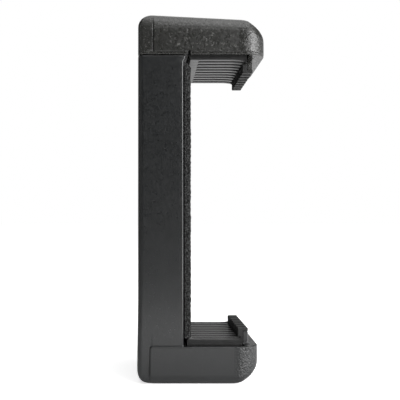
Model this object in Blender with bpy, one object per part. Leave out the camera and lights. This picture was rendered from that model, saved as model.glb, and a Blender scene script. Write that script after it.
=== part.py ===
"""Spring-loaded phone clip of a selfie stick, closed, standing on its fixed lower jaw.

Metres, +Z up. The origin is in the middle of the underside, on the axis of the threaded
socket. +X points to the tips of the jaws and both halves mirror each other across Y = 0.
Depths are measured forwards from the flat back, heights upwards from the underside.
"""

import math

import bmesh
import bpy
from mathutils import Matrix, Vector

MM = 0.001

# Outer form
UPPER_REACH = 29.7 * MM
LOWER_REACH = 27.95 * MM
JAW_WIDTH = 28.0 * MM
LOWER_JAW_HEIGHT = 8.75 * MM
COLUMN_HEIGHT = 66.65 * MM
COLUMN_DEPTH = 10.6 * MM
UPPER_JAW_HEIGHT = 9.35 * MM
TOP_SLOPE = math.radians(2.9)
TRAVEL = 28.0 * MM

# Rounding of the outer form
BACK_CORNER_RADIUS = 2.2 * MM
TIP_CORNER_RADIUS = 4.5 * MM
LEAST_CORNER_RADIUS = 1.2 * MM
UPPER_BACK_FILLET = 2.9 * MM
UPPER_TIP_FILLET_RISE = 5.6 * MM
UPPER_TIP_FILLET_RUN = 5.6 * MM
UPPER_SIDE_FILLET = 1.3 * MM
LOWER_BACK_FILLET_RISE = 3.4 * MM
LOWER_BACK_FILLET_RUN = 2.6 * MM
LOWER_TIP_FILLET_RISE = 6.3 * MM
LOWER_TIP_FILLET_RUN = 6.5 * MM
LOWER_SIDE_FILLET = 2.3 * MM
EDGE_CHAMFER = 0.35 * MM
COLLAR_FLARE = 0.55 * MM
COLLAR_FLARE_HEIGHT = 1.5 * MM

# Raised panels on the flanks of both jaws
PANEL_RAISE = 0.3 * MM
PANEL_RAMP = 0.35 * MM
PANEL_CORNER = 1.3 * MM
UPPER_PANEL_START = 3.6 * MM
UPPER_PANEL_MARGIN = 0.5 * MM
LOWER_PANEL_START = 2.9 * MM

# Walls and running clearances
BACK_WALL = 1.8 * MM
SIDE_WALL = 1.6 * MM
UPPER_JAW_WALL = 2.45 * MM
COLLAR_THICKNESS = 1.95 * MM
CAVITY_FLOOR_RISE = 1.6 * MM
SEAT_GAP = 0.25 * MM
RUNNING_GAP = 0.35 * MM

# Front cover
COVER_FLANGE = 1.45 * MM
COVER_INSET = 0.1 * MM
COVER_PLUG = 1.85 * MM
COVER_RIM = 1.2 * MM
COVER_EDGE_RADIUS = 0.8 * MM
COVER_TOP_CHAMFER_RISE = 0.95 * MM
COVER_TOP_CHAMFER_RUN = 0.7 * MM
POST_DIAMETER = 3.6 * MM
SCREW_EDGE_MARGIN = 0.15 * MM

# Screws and pins
SCREW_HEAD_DIAMETER = 3.3 * MM
SCREW_HEAD_HEIGHT = 1.15 * MM
SCREW_SHANK_DIAMETER = 1.8 * MM
SCREW_LENGTH = 6.2 * MM
SCREW_RECESS = 1.75 * MM
SCREW_BOSS_HEIGHT = 1.6 * MM
LOWER_POST_RISE = 2.3 * MM
UPPER_POST_DROP = 4.4 * MM
JAW_SCREW_MARGIN = 3.4 * MM
JAW_SCREW_RISE = 3.6 * MM
PIN_DIAMETER = 1.6 * MM
PIN_SEAT = 2.3 * MM
LOWER_PIN_RISE = 2.5 * MM

# Slider
SLIDER_WEB = 1.5 * MM
SLIDER_HEAD_STEP = 1.45 * MM
SLIDER_HEAD_HEIGHT = 6.3 * MM
FOOT_HEIGHT = 3.5 * MM
FOOT_RISE = 5.9 * MM
RIB_THICKNESS = 1.2 * MM
SLIDER_RIB = 1.3 * MM
SLIDER_POCKET_ROWS = 3

# Springs
SPRING_DIAMETER = 4.2 * MM
SPRING_WIRE = 0.55 * MM
SPRING_REST_LENGTH = 32.6 * MM
SPRING_TURNS = 16

# Grip pads and lips
PAD_THICKNESS = 1.6 * MM
PAD_INSET = 1.6 * MM
UPPER_PAD_RISE = 0.9 * MM
LOWER_PAD_RISE = 0.35 * MM
PAD_RISE_RUN = 3.2 * MM
GROOVE_COUNT = 9
GROOVE_WIDTH = 1.25 * MM
GROOVE_DEPTH = 0.5 * MM
UPPER_PAD_RECESS = 0.9 * MM
LOWER_PAD_RECESS = 0.45 * MM
UPPER_PAD_SETBACK = 0.95 * MM
LOWER_PAD_SETBACK = 0.85 * MM
UPPER_PAD_BORDER = 2.1 * MM
LOWER_PAD_BORDER = 1.2 * MM
UNDERCUT_START = 0.1 * MM
UNDERCUT_WIDTH = 1.05 * MM
UNDERCUT_HEIGHT = 0.85 * MM
LIP_INSET = 4.2 * MM
LIP_THICKNESS = 1.2 * MM
LIP_RUBBER = 0.65 * MM
LIP_CAP = 0.5 * MM
LIP_ROOT_FILLET = 0.5 * MM
UPPER_LIP_SETBACK = 3.8 * MM
UPPER_LIP_HEIGHT = 2.7 * MM
LOWER_LIP_SETBACK = 3.3 * MM
LOWER_LIP_HEIGHT = 2.85 * MM
CAP_GROOVE_COUNT = 7
CAP_GROOVE_WIDTH = 1.1 * MM
CAP_GROOVE_DEPTH = 0.22 * MM

# Threaded socket for the stick
SOCKET_BORE_RADIUS = 3.2 * MM
SOCKET_OUTER_RADIUS = 4.5 * MM
SOCKET_LENGTH = 6.9 * MM
SOCKET_RECESS = 0.2 * MM
SOCKET_CHAMFER = 0.4 * MM
SOCKET_GROOVE_DEPTH = 0.45 * MM
SOCKET_GROOVE_WIDTH = 1.6 * MM

# Facets
CORNER_STEPS = 6
FILLET_STEPS = 5
ROUND_SEGMENTS = 24
SMALL_SEGMENTS = 16
CURVE_STEPS = 4
COIL_SEGMENTS = 10
WIRE_SIDES = 6
EMBED = 0.4 * MM
CLEAR_CUT = 2.0 * MM
SHARP_ANGLE = math.radians(32)

# Places worked out from the sizes above
BACK_X = -UPPER_REACH / 2
PANEL_HALF = JAW_WIDTH / 2
BODY_HALF = PANEL_HALF - PANEL_RAISE
HOUSING_TOP = LOWER_JAW_HEIGHT + COLUMN_HEIGHT
UPPER_JAW_BOTTOM = HOUSING_TOP + SEAT_GAP
UPPER_JAW_TOP = UPPER_JAW_BOTTOM + UPPER_JAW_HEIGHT
CAVITY_HALF = PANEL_HALF - SIDE_WALL
PAD_HALF = PANEL_HALF - PAD_INSET
LIP_HALF = PANEL_HALF - LIP_INSET
UPPER_PAD_START = COLUMN_DEPTH + COLLAR_FLARE + UPPER_PAD_SETBACK
LOWER_PAD_START = COLUMN_DEPTH + LOWER_PAD_SETBACK
UPPER_LIP_DEPTH = UPPER_REACH - UPPER_LIP_SETBACK
LOWER_LIP_DEPTH = LOWER_REACH - LOWER_LIP_SETBACK
CAVITY_FLOOR = LOWER_JAW_HEIGHT + CAVITY_FLOOR_RISE
CAVITY_TOP = HOUSING_TOP - COLLAR_THICKNESS
COVER_BACK = COLUMN_DEPTH + SEAT_GAP
COVER_FRONT = COVER_BACK + COVER_FLANGE
COVER_BOTTOM = CAVITY_FLOOR + SEAT_GAP
COVER_TOP = HOUSING_TOP - COLLAR_FLARE_HEIGHT - SEAT_GAP
PLUG_BACK = COVER_BACK - COVER_PLUG
RECESS_RADIUS = SCREW_HEAD_DIAMETER / 2 + SEAT_GAP
SHANK_HOLE_RADIUS = SCREW_SHANK_DIAMETER / 2 + SEAT_GAP
PIN_HOLE_RADIUS = PIN_DIAMETER / 2 + SEAT_GAP
POST_Y = BODY_HALF - BACK_CORNER_RADIUS - RECESS_RADIUS - SCREW_EDGE_MARGIN
POST_HEIGHTS = (CAVITY_FLOOR + LOWER_POST_RISE, CAVITY_TOP - UPPER_POST_DROP)
BOSS_TOP = BACK_WALL + SCREW_BOSS_HEIGHT
BOSS_INNER_Y = POST_Y - POST_DIAMETER / 2 - SEAT_GAP / 2
SLIDER_HALF = BOSS_INNER_Y - RUNNING_GAP
SLIDER_BACK = BACK_WALL + RUNNING_GAP
SLIDER_FRONT = PLUG_BACK - RUNNING_GAP
HEAD_BACK = SLIDER_BACK + SLIDER_HEAD_STEP
FOOT_BOTTOM = CAVITY_FLOOR + FOOT_RISE
FOOT_TOP = FOOT_BOTTOM + FOOT_HEIGHT
FOOT_HALF = CAVITY_HALF - RUNNING_GAP
STOP_HEIGHT = FOOT_TOP + TRAVEL + RUNNING_GAP
RIB_TOP = POST_HEIGHTS[1] - POST_DIAMETER / 2 - SEAT_GAP
HEAD_HALF = BODY_HALF - UPPER_JAW_WALL - SEAT_GAP
JAW_SCREW_Y = HEAD_HALF - JAW_SCREW_MARGIN
JAW_SCREW_Z = UPPER_JAW_BOTTOM + JAW_SCREW_RISE
SPRING_Y = SLIDER_HALF / 2
CHANNEL_BACK = SLIDER_BACK + SLIDER_WEB
CHANNEL_HALF = SPRING_DIAMETER / 2 + RUNNING_GAP
SPRING_DEPTH = CHANNEL_BACK + CHANNEL_HALF
LOWER_PIN_Z = CAVITY_FLOOR + LOWER_PIN_RISE
UPPER_PIN_Z = LOWER_PIN_Z + SPRING_REST_LENGTH
HOOK_RADIUS = PIN_DIAMETER / 2 + SEAT_GAP + SPRING_WIRE / 2
PIN_TIP = SPRING_DEPTH + SPRING_WIRE / 2 + EMBED
SLIDE_ORIGIN = Vector((BACK_X + (SLIDER_BACK + SLIDER_FRONT) / 2, 0, HOUSING_TOP))


def point(depth, y, z):
    """World position of a point given by its depth from the back."""
    return Vector((BACK_X + depth, y, z))


# Mesh building


def finished_mesh(name, bm):
    """Turns a bmesh into a mesh with outward faces and smooth round surfaces."""
    bmesh.ops.recalc_face_normals(bm, faces=bm.faces)
    mesh = bpy.data.meshes.new(name)
    bm.to_mesh(mesh)
    bm.free()
    mesh.shade_smooth()
    mesh.set_sharp_from_angle(angle=SHARP_ANGLE)
    return mesh


def box(low, high):
    """Block between two corners."""
    bm = bmesh.new()
    size = high - low
    middle = (low + high) / 2
    place = Matrix.Translation(middle) @ Matrix.Diagonal(size.to_4d())
    bmesh.ops.create_cube(bm, size=1, matrix=place)
    return finished_mesh("box", bm)


def prism(profile, half_width):
    """Solid with a (depth, height) outline, extruded across the clip."""
    bm = bmesh.new()
    near = [bm.verts.new(point(depth, -half_width, z)) for depth, z in profile]
    face = bm.faces.new(near)
    grown = bmesh.ops.extrude_face_region(bm, geom=[face])
    far = [item for item in grown["geom"] if isinstance(item, bmesh.types.BMVert)]
    bmesh.ops.translate(bm, verts=far, vec=(0, 2 * half_width, 0))
    return finished_mesh("prism", bm)


def bridge(bm, lower, upper):
    """Joins two closed rings of vertices with a band of faces."""
    count = len(lower)
    for i in range(count):
        j = (i + 1) % count
        bm.faces.new((lower[i], lower[j], upper[j], upper[i]))


def lathe(profile, segments, closed=False):
    """Solid turned about Z from (radius, height) points. A closed profile makes a ring."""
    bm = bmesh.new()
    rings = []
    for radius, z in profile:
        angles = [2 * math.pi * i / segments for i in range(segments)]
        rings.append([bm.verts.new((radius * math.cos(a), radius * math.sin(a), z)) for a in angles])
    for lower, upper in zip(rings, rings[1:]):
        bridge(bm, lower, upper)
    if closed:
        bridge(bm, rings[-1], rings[0])
    else:
        bm.faces.new(rings[0])
        bm.faces.new(rings[-1])
    return finished_mesh("turned", bm)


def tube(path, radius, sides):
    """Round wire that follows a path of points, with flat ends."""
    bm = bmesh.new()
    rings = []
    across = None
    for i, here in enumerate(path):
        along = (path[min(i + 1, len(path) - 1)] - path[max(i - 1, 0)]).normalized()
        across = along.orthogonal() if across is None else across - along * across.dot(along)
        across.normalize()
        other = along.cross(across)
        ring = []
        for k in range(sides):
            angle = 2 * math.pi * k / sides
            offset = across * math.cos(angle) + other * math.sin(angle)
            ring.append(bm.verts.new(here + offset * radius))
        rings.append(ring)
    for lower, upper in zip(rings, rings[1:]):
        bridge(bm, lower, upper)
    bm.faces.new(rings[0])
    bm.faces.new(rings[-1])
    return finished_mesh("wire", bm)


# Objects


def make_material(name, color, roughness, metallic=0.0):
    material = bpy.data.materials.new(name)
    material.use_nodes = True
    shader = material.node_tree.nodes["Principled BSDF"]
    shader.inputs["Base Color"].default_value = (*color, 1)
    shader.inputs["Roughness"].default_value = roughness
    shader.inputs["Metallic"].default_value = metallic
    return material


def make_object(name, mesh, color, roughness, metallic=0.0, location=(0, 0, 0)):
    """Adds a named piece with a material of its own."""
    mesh.name = name
    piece = bpy.data.objects.new(name, mesh)
    piece.location = location
    bpy.context.collection.objects.link(piece)
    if not mesh.materials:
        mesh.materials.append(None)
    piece.material_slots[0].link = "OBJECT"
    piece.material_slots[0].material = make_material(name, color, roughness, metallic)
    return piece


def combine(target, tool_mesh, operation, place=None):
    """Cuts a tool mesh from a piece, or joins it on, and keeps the result as its mesh."""
    tool = bpy.data.objects.new("tool", tool_mesh)
    if place is not None:
        tool.matrix_world = place
    bpy.context.collection.objects.link(tool)
    modifier = target.modifiers.new(operation, "BOOLEAN")
    modifier.operation = operation
    modifier.solver = "EXACT"
    modifier.object = tool
    bpy.context.view_layer.update()
    graph = bpy.context.evaluated_depsgraph_get()
    result = bpy.data.meshes.new_from_object(target.evaluated_get(graph))
    target.modifiers.remove(modifier)
    result.name = target.name
    result.set_sharp_from_angle(angle=SHARP_ANGLE)
    target.data = result
    bpy.data.objects.remove(tool)


def cut(target, tool_mesh, place=None):
    combine(target, tool_mesh, "DIFFERENCE", place)


def join(target, tool_mesh, place=None):
    combine(target, tool_mesh, "UNION", place)


def along_depth(depth, y, z):
    """Placement that turns a part's own Z axis forwards and puts it at a point."""
    return Matrix.Translation(point(depth, y, z)) @ Matrix.Rotation(math.pi / 2, 4, "Y")


def cylinder(radius, length, segments=SMALL_SEGMENTS):
    return lathe([(radius, 0), (radius, length)], segments)


# Outer form of the two jaws


def fillet_inset(distance, rise, run):
    """How far an edge fillet draws a wall in, at a distance from the face that it meets."""
    if distance >= rise:
        return 0.0
    return run * (1 - math.sqrt(1 - (1 - distance / rise) ** 2))


def fillet_levels(rise):
    """Distances from the face at which a fillet is cut into facets."""
    return [rise * (1 - math.cos(math.pi / 2 * i / FILLET_STEPS)) for i in range(FILLET_STEPS + 1)]


def corner(middle, radii, start):
    """Quarter ellipse of the outline, counterclockwise from a start angle in degrees."""
    points = []
    for i in range(CORNER_STEPS + 1):
        angle = math.radians(start + 90 * i / CORNER_STEPS)
        points.append((middle[0] + radii[0] * math.cos(angle), middle[1] + radii[1] * math.sin(angle)))
    return points


def jaw_ring(z, reach, insets, panel_start, panel_raise, split=COLUMN_DEPTH, chamfer=0.0):
    """Outline of a jaw at one height.

    The first part of the ring, from one split point round the back to the other, is the
    outline of the column. The second part runs round the tip.
    """
    back_inset, tip_inset, side_inset = insets
    half = BODY_HALF - side_inset
    panel_half = half + panel_raise
    back_radii = [max(BACK_CORNER_RADIUS - inset, LEAST_CORNER_RADIUS) for inset in (back_inset, side_inset)]
    tip_radii = [max(TIP_CORNER_RADIUS - inset, LEAST_CORNER_RADIUS) for inset in (tip_inset, side_inset)]
    back_middle = (back_inset + back_radii[0], half - back_radii[1])
    tip_middle = (reach - tip_inset - tip_radii[0], panel_half - tip_radii[1])
    flank = [
        (split, panel_half - chamfer),
        (split - EDGE_CHAMFER, panel_half),
        (panel_start + PANEL_RAMP, panel_half),
        (panel_start, half),
    ]
    far_back = corner(back_middle, back_radii, 90)
    near_back = corner((back_middle[0], -back_middle[1]), back_radii, 180)
    near_tip = corner((tip_middle[0], -tip_middle[1]), tip_radii, 270)
    far_tip = corner(tip_middle, tip_radii, 0)
    column = flank + far_back + near_back + [(depth, -y) for depth, y in reversed(flank)]
    return [point(depth, y, z) for depth, y in column + near_tip + far_tip], len(column)


def new_ring(bm, points):
    return [bm.verts.new(co) for co in points]


def panel_start_at(start, margin):
    """Start of a raised panel's rear edge, rounded where the panel ends."""
    return start + fillet_inset(max(margin, 0), PANEL_CORNER, PANEL_CORNER)


def lower_form():
    """Lower jaw with the column of the housing standing on its back part."""
    bm = bmesh.new()
    levels = set(fillet_levels(LOWER_SIDE_FILLET) + fillet_levels(LOWER_TIP_FILLET_RISE))
    levels |= {LOWER_JAW_HEIGHT - PANEL_CORNER * share for share in (0.5, 0.2, 0)}
    rings = []
    for z in sorted(levels):
        insets = (
            fillet_inset(z, LOWER_BACK_FILLET_RISE, LOWER_BACK_FILLET_RUN),
            fillet_inset(z, LOWER_TIP_FILLET_RISE, LOWER_TIP_FILLET_RUN),
            fillet_inset(z, LOWER_SIDE_FILLET, LOWER_SIDE_FILLET),
        )
        start = panel_start_at(LOWER_PANEL_START, LOWER_JAW_HEIGHT - z)
        points, column_count = jaw_ring(z, LOWER_REACH, insets, start, PANEL_RAISE)
        rings.append(new_ring(bm, points))
    for lower, upper in zip(rings, rings[1:]):
        bridge(bm, lower, upper)
    bm.faces.new(rings[0])
    top = rings[-1]
    bm.faces.new([top[column_count - 1]] + top[column_count:] + [top[0]])

    column = top[:column_count]
    flare_start = HOUSING_TOP - COLLAR_FLARE_HEIGHT
    courses = [
        (LOWER_JAW_HEIGHT + PANEL_RAISE, COLUMN_DEPTH),
        (flare_start, COLUMN_DEPTH),
        (HOUSING_TOP, COLUMN_DEPTH + COLLAR_FLARE),
    ]
    start = panel_start_at(LOWER_PANEL_START, 0)
    for z, split in courses:
        points, count = jaw_ring(z, LOWER_REACH, (0, 0, 0), start, 0, split, EDGE_CHAMFER)
        ring = new_ring(bm, points[:count])
        bridge(bm, column, ring)
        column = ring
    bm.faces.new(column)
    return finished_mesh("lower_form", bm)


def upper_form():
    """Upper jaw, with a flat underside and a top that slopes down to the tip."""
    bm = bmesh.new()
    panel_bottom = UPPER_JAW_BOTTOM + UPPER_PANEL_MARGIN
    drops = set(fillet_levels(UPPER_SIDE_FILLET) + fillet_levels(UPPER_TIP_FILLET_RISE))
    levels = {UPPER_JAW_TOP - drop for drop in drops}
    levels |= {panel_bottom + PANEL_RAISE + PANEL_CORNER * share for share in (0, 0.2, 0.5)}
    levels |= {UPPER_JAW_BOTTOM, panel_bottom}
    previous = None
    for z in sorted(levels):
        drop = UPPER_JAW_TOP - z
        insets = (
            fillet_inset(drop, UPPER_BACK_FILLET, UPPER_BACK_FILLET),
            fillet_inset(drop, UPPER_TIP_FILLET_RISE, UPPER_TIP_FILLET_RUN),
            fillet_inset(drop, UPPER_SIDE_FILLET, UPPER_SIDE_FILLET),
        )
        panel_raise = PANEL_RAISE if z > panel_bottom else 0
        start = panel_start_at(UPPER_PANEL_START, z - panel_bottom - PANEL_RAISE)
        points, _ = jaw_ring(z, UPPER_REACH, insets, start, panel_raise)
        ring = new_ring(bm, points)
        if previous is None:
            bm.faces.new(ring)
        else:
            bridge(bm, previous, ring)
        previous = ring
    bm.faces.new(previous)
    for vert in bm.verts:
        share = (vert.co.z - UPPER_JAW_BOTTOM) / UPPER_JAW_HEIGHT
        run = max(vert.co.x - BACK_X - UPPER_BACK_FILLET, 0)
        vert.co.z -= share * run * math.tan(TOP_SLOPE)
    return finished_mesh("upper_form", bm)


def lip_profile(inner, face, outward, height):
    """Outline of a jaw's hard lip, rooted in the jaw and rounded at its outer foot."""
    outer = inner + LIP_THICKNESS
    root = face - outward * EMBED
    end = face + outward * height
    profile = [(inner, root), (inner, end), (outer, end)]
    for i in range(4):
        angle = math.pi / 2 * i / 3
        run = LIP_ROOT_FILLET * (1 - math.cos(angle))
        rise = LIP_ROOT_FILLET * (1 - math.sin(angle))
        profile.append((outer + run, face + outward * rise))
    profile.append((outer + LIP_ROOT_FILLET, root))
    return profile


def seat_pad_and_lip(jaw, start, inner, face, outward, recess, lip_height):
    """Sinks the pad's seat into a jaw's gripping face and raises the lip at its end."""
    heights = sorted((face - outward * recess, face + outward * CLEAR_CUT))
    low = point(start - SEAT_GAP, -PAD_HALF - SEAT_GAP, heights[0])
    cut(jaw, box(low, point(inner, PAD_HALF + SEAT_GAP, heights[1])))
    join(jaw, prism(lip_profile(inner, face, outward, lip_height), LIP_HALF))


# Pieces of the fixed body


def make_rear_housing():
    """Housing moulded in one with the lower jaw, its lip, the screw bosses and the stops."""
    housing = make_object("rear_housing", lower_form(), (0.032, 0.034, 0.035), 0.5)
    seat_pad_and_lip(
        housing, LOWER_PAD_START, LOWER_LIP_DEPTH, LOWER_JAW_HEIGHT, 1, LOWER_PAD_RECESS, LOWER_LIP_HEIGHT
    )
    front = COLUMN_DEPTH + CLEAR_CUT
    cut(housing, box(point(BACK_WALL, -CAVITY_HALF, CAVITY_FLOOR), point(front, CAVITY_HALF, CAVITY_TOP)))
    slot_half = SLIDER_HALF + RUNNING_GAP
    slot_low = point(BACK_WALL, -slot_half, CAVITY_TOP - CLEAR_CUT)
    cut(housing, box(slot_low, point(front, slot_half, HOUSING_TOP + CLEAR_CUT)))
    hole_depth = SOCKET_RECESS + SOCKET_LENGTH + SEAT_GAP
    socket_hole = cylinder(SOCKET_OUTER_RADIUS + SEAT_GAP, hole_depth + CLEAR_CUT, ROUND_SEGMENTS)
    cut(housing, socket_hole, Matrix.Translation((0, 0, -CLEAR_CUT)))
    for side in (-1, 1):
        wall = side * (CAVITY_HALF + EMBED)
        for z in POST_HEIGHTS:
            reach_z = POST_DIAMETER / 2
            corners_y = sorted((side * BOSS_INNER_Y, wall))
            low = point(BACK_WALL - EMBED, corners_y[0], z - reach_z)
            join(housing, box(low, point(BOSS_TOP, corners_y[1], z + reach_z)))
            recess = cylinder(RECESS_RADIUS, SCREW_RECESS + CLEAR_CUT)
            cut(housing, recess, along_depth(-CLEAR_CUT, side * POST_Y, z))
            cut(housing, cylinder(SHANK_HOLE_RADIUS, BOSS_TOP), along_depth(EMBED, side * POST_Y, z))
        rib_y = sorted((side * BOSS_INNER_Y, side * (BOSS_INNER_Y + RIB_THICKNESS)))
        rib_low = point(BACK_WALL - EMBED, rib_y[0], STOP_HEIGHT)
        join(housing, box(rib_low, point(SLIDER_FRONT, rib_y[1], RIB_TOP)))
        boss_radius = PIN_HOLE_RADIUS + RIB_THICKNESS
        boss_place = along_depth(BACK_WALL - EMBED, side * SPRING_Y, LOWER_PIN_Z)
        join(housing, cylinder(boss_radius, SCREW_BOSS_HEIGHT + EMBED), boss_place)
        pin_hole = cylinder(PIN_HOLE_RADIUS, PIN_SEAT + CLEAR_CUT)
        cut(housing, pin_hole, along_depth(BOSS_TOP - PIN_SEAT, side * SPRING_Y, LOWER_PIN_Z))
    return housing


def make_front_cover():
    """Grained cover plate with a rim that plugs into the housing and four screw posts."""
    half = BODY_HALF - COVER_INSET
    courses = [
        (COVER_BOTTOM, COVER_EDGE_RADIUS / 2),
        (COVER_BOTTOM + COVER_EDGE_RADIUS / 2, 0),
        (COVER_TOP - COVER_TOP_CHAMFER_RISE, 0),
        (COVER_TOP, COVER_TOP_CHAMFER_RUN),
    ]
    bm = bmesh.new()
    previous = None
    for z, inset in courses:
        front = COVER_FRONT - inset
        middle = (front - COVER_EDGE_RADIUS, half - COVER_EDGE_RADIUS)
        radii = (COVER_EDGE_RADIUS, COVER_EDGE_RADIUS)
        near = corner((middle[0], -middle[1]), radii, 270)
        outline = [(COVER_BACK, -half)] + near + corner(middle, radii, 0) + [(COVER_BACK, half)]
        ring = new_ring(bm, [point(max(depth, COVER_BACK), y, z) for depth, y in outline])
        if previous is None:
            bm.faces.new(ring)
        else:
            bridge(bm, previous, ring)
        previous = ring
    bm.faces.new(previous)
    cover = make_object("front_cover", finished_mesh("front_cover", bm), (0.03, 0.031, 0.032), 0.62)
    plug_half = CAVITY_HALF - SEAT_GAP
    plug_top = CAVITY_TOP - SEAT_GAP
    low = point(PLUG_BACK, -plug_half, COVER_BOTTOM)
    join(cover, box(low, point(COVER_BACK + EMBED, plug_half, plug_top)))
    rim_half = plug_half - COVER_RIM
    low = point(PLUG_BACK - CLEAR_CUT, -rim_half, COVER_BOTTOM + COVER_RIM)
    cut(cover, box(low, point(COVER_BACK, rim_half, plug_top - COVER_RIM)))
    post_back = BOSS_TOP + SEAT_GAP
    hole_end = SCREW_RECESS + SCREW_LENGTH + SEAT_GAP
    for side in (-1, 1):
        for z in POST_HEIGHTS:
            post = cylinder(POST_DIAMETER / 2, COVER_BACK + EMBED - post_back)
            join(cover, post, along_depth(post_back, side * POST_Y, z))
            hole = cylinder(SHANK_HOLE_RADIUS, hole_end - post_back + CLEAR_CUT)
            cut(cover, hole, along_depth(post_back - CLEAR_CUT, side * POST_Y, z))
    return cover


def make_thread_insert():
    """Brass insert of the socket, open below, with a groove that locks it in the plastic."""
    top = SOCKET_RECESS + SOCKET_LENGTH
    middle = (SOCKET_RECESS + top) / 2
    groove = SOCKET_GROOVE_WIDTH / 2
    waist = SOCKET_OUTER_RADIUS - SOCKET_GROOVE_DEPTH
    profile = [
        (SOCKET_BORE_RADIUS + SOCKET_CHAMFER, SOCKET_RECESS),
        (SOCKET_OUTER_RADIUS, SOCKET_RECESS),
        (SOCKET_OUTER_RADIUS, middle - groove),
        (waist, middle - groove),
        (waist, middle + groove),
        (SOCKET_OUTER_RADIUS, middle + groove),
        (SOCKET_OUTER_RADIUS, top),
        (SOCKET_BORE_RADIUS, top),
        (SOCKET_BORE_RADIUS, SOCKET_RECESS + SOCKET_CHAMFER),
    ]
    ring = lathe(profile, ROUND_SEGMENTS, closed=True)
    return make_object("thread_insert", ring, (0.72, 0.50, 0.20), 0.3, 1.0)


# Small hardware


def screw_mesh():
    """Pan-head screw along Z, with its head's top at zero and its shank below the head."""
    head = SCREW_HEAD_DIAMETER / 2
    shank = SCREW_SHANK_DIAMETER / 2
    profile = [
        (head * 0.6, 0),
        (head * 0.9, SCREW_HEAD_HEIGHT * 0.2),
        (head, SCREW_HEAD_HEIGHT * 0.55),
        (head, SCREW_HEAD_HEIGHT),
        (shank, SCREW_HEAD_HEIGHT),
        (shank, SCREW_LENGTH - shank),
        (shank * 0.3, SCREW_LENGTH),
    ]
    return lathe(profile, SMALL_SEGMENTS)


def pin_mesh(length):
    """Plain spring pin along Z with chamfered ends."""
    radius = PIN_DIAMETER / 2
    chamfer = radius * 0.25
    end = length - chamfer
    profile = [(radius - chamfer, 0), (radius, chamfer), (radius, end), (radius - chamfer, length)]
    return lathe(profile, SMALL_SEGMENTS)


def spring_mesh():
    """Tension spring with a hook round each pin. Its origin is the lower pin's centre."""
    coil_radius = (SPRING_DIAMETER - SPRING_WIRE) / 2
    path = []
    hook_steps = COIL_SEGMENTS
    for i in range(hook_steps):
        angle = math.radians(-150 + 240 * i / hook_steps)
        path.append(Vector((0, HOOK_RADIUS * math.cos(angle), HOOK_RADIUS * math.sin(angle))))
    coil_height = SPRING_REST_LENGTH - 2 * HOOK_RADIUS
    steps = SPRING_TURNS * COIL_SEGMENTS
    blend_steps = COIL_SEGMENTS
    for i in range(steps + 1):
        angle = -math.pi / 2 + 2 * math.pi * i / COIL_SEGMENTS
        grow = min(1, i / blend_steps, (steps - i) / blend_steps)
        radius = coil_radius * grow * (2 - grow)
        height = HOOK_RADIUS + coil_height * i / steps
        path.append(Vector((radius * math.cos(angle), radius * math.sin(angle), height)))
    for i in range(1, hook_steps + 1):
        angle = math.radians(-90 + 240 * i / hook_steps)
        y = HOOK_RADIUS * math.cos(angle)
        path.append(Vector((0, y, SPRING_REST_LENGTH + HOOK_RADIUS * math.sin(angle))))
    return tube(path, SPRING_WIRE / 2, WIRE_SIDES)


# Pieces of the sliding jaw


def make_upper_jaw_shell():
    """Upper jaw moulding with its lip and the pocket that takes the slider's head."""
    shell = make_object("upper_jaw_shell", upper_form(), (0.036, 0.036, 0.034), 0.5)
    seat_pad_and_lip(
        shell, UPPER_PAD_START, UPPER_LIP_DEPTH, UPPER_JAW_BOTTOM, -1, UPPER_PAD_RECESS, UPPER_LIP_HEIGHT
    )
    undercut_start = COLUMN_DEPTH + COLLAR_FLARE + UNDERCUT_START
    undercut_half = PANEL_HALF + CLEAR_CUT
    low = point(undercut_start, -undercut_half, UPPER_JAW_BOTTOM - CLEAR_CUT)
    high = point(undercut_start + UNDERCUT_WIDTH, undercut_half, UPPER_JAW_BOTTOM + UNDERCUT_HEIGHT)
    cut(shell, box(low, high))
    pocket_half = HEAD_HALF + SEAT_GAP
    pocket_top = UPPER_JAW_BOTTOM + SLIDER_HEAD_HEIGHT + SEAT_GAP
    low = point(HEAD_BACK - SEAT_GAP, -pocket_half, UPPER_JAW_BOTTOM - CLEAR_CUT)
    cut(shell, box(low, point(SLIDER_FRONT + SEAT_GAP, pocket_half, pocket_top)))
    for side in (-1, 1):
        y = side * JAW_SCREW_Y
        recess = cylinder(RECESS_RADIUS, SCREW_RECESS + CLEAR_CUT)
        cut(shell, recess, along_depth(-CLEAR_CUT, y, JAW_SCREW_Z))
        cut(shell, cylinder(SHANK_HOLE_RADIUS, HEAD_BACK), along_depth(EMBED, y, JAW_SCREW_Z))
    return shell


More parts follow.
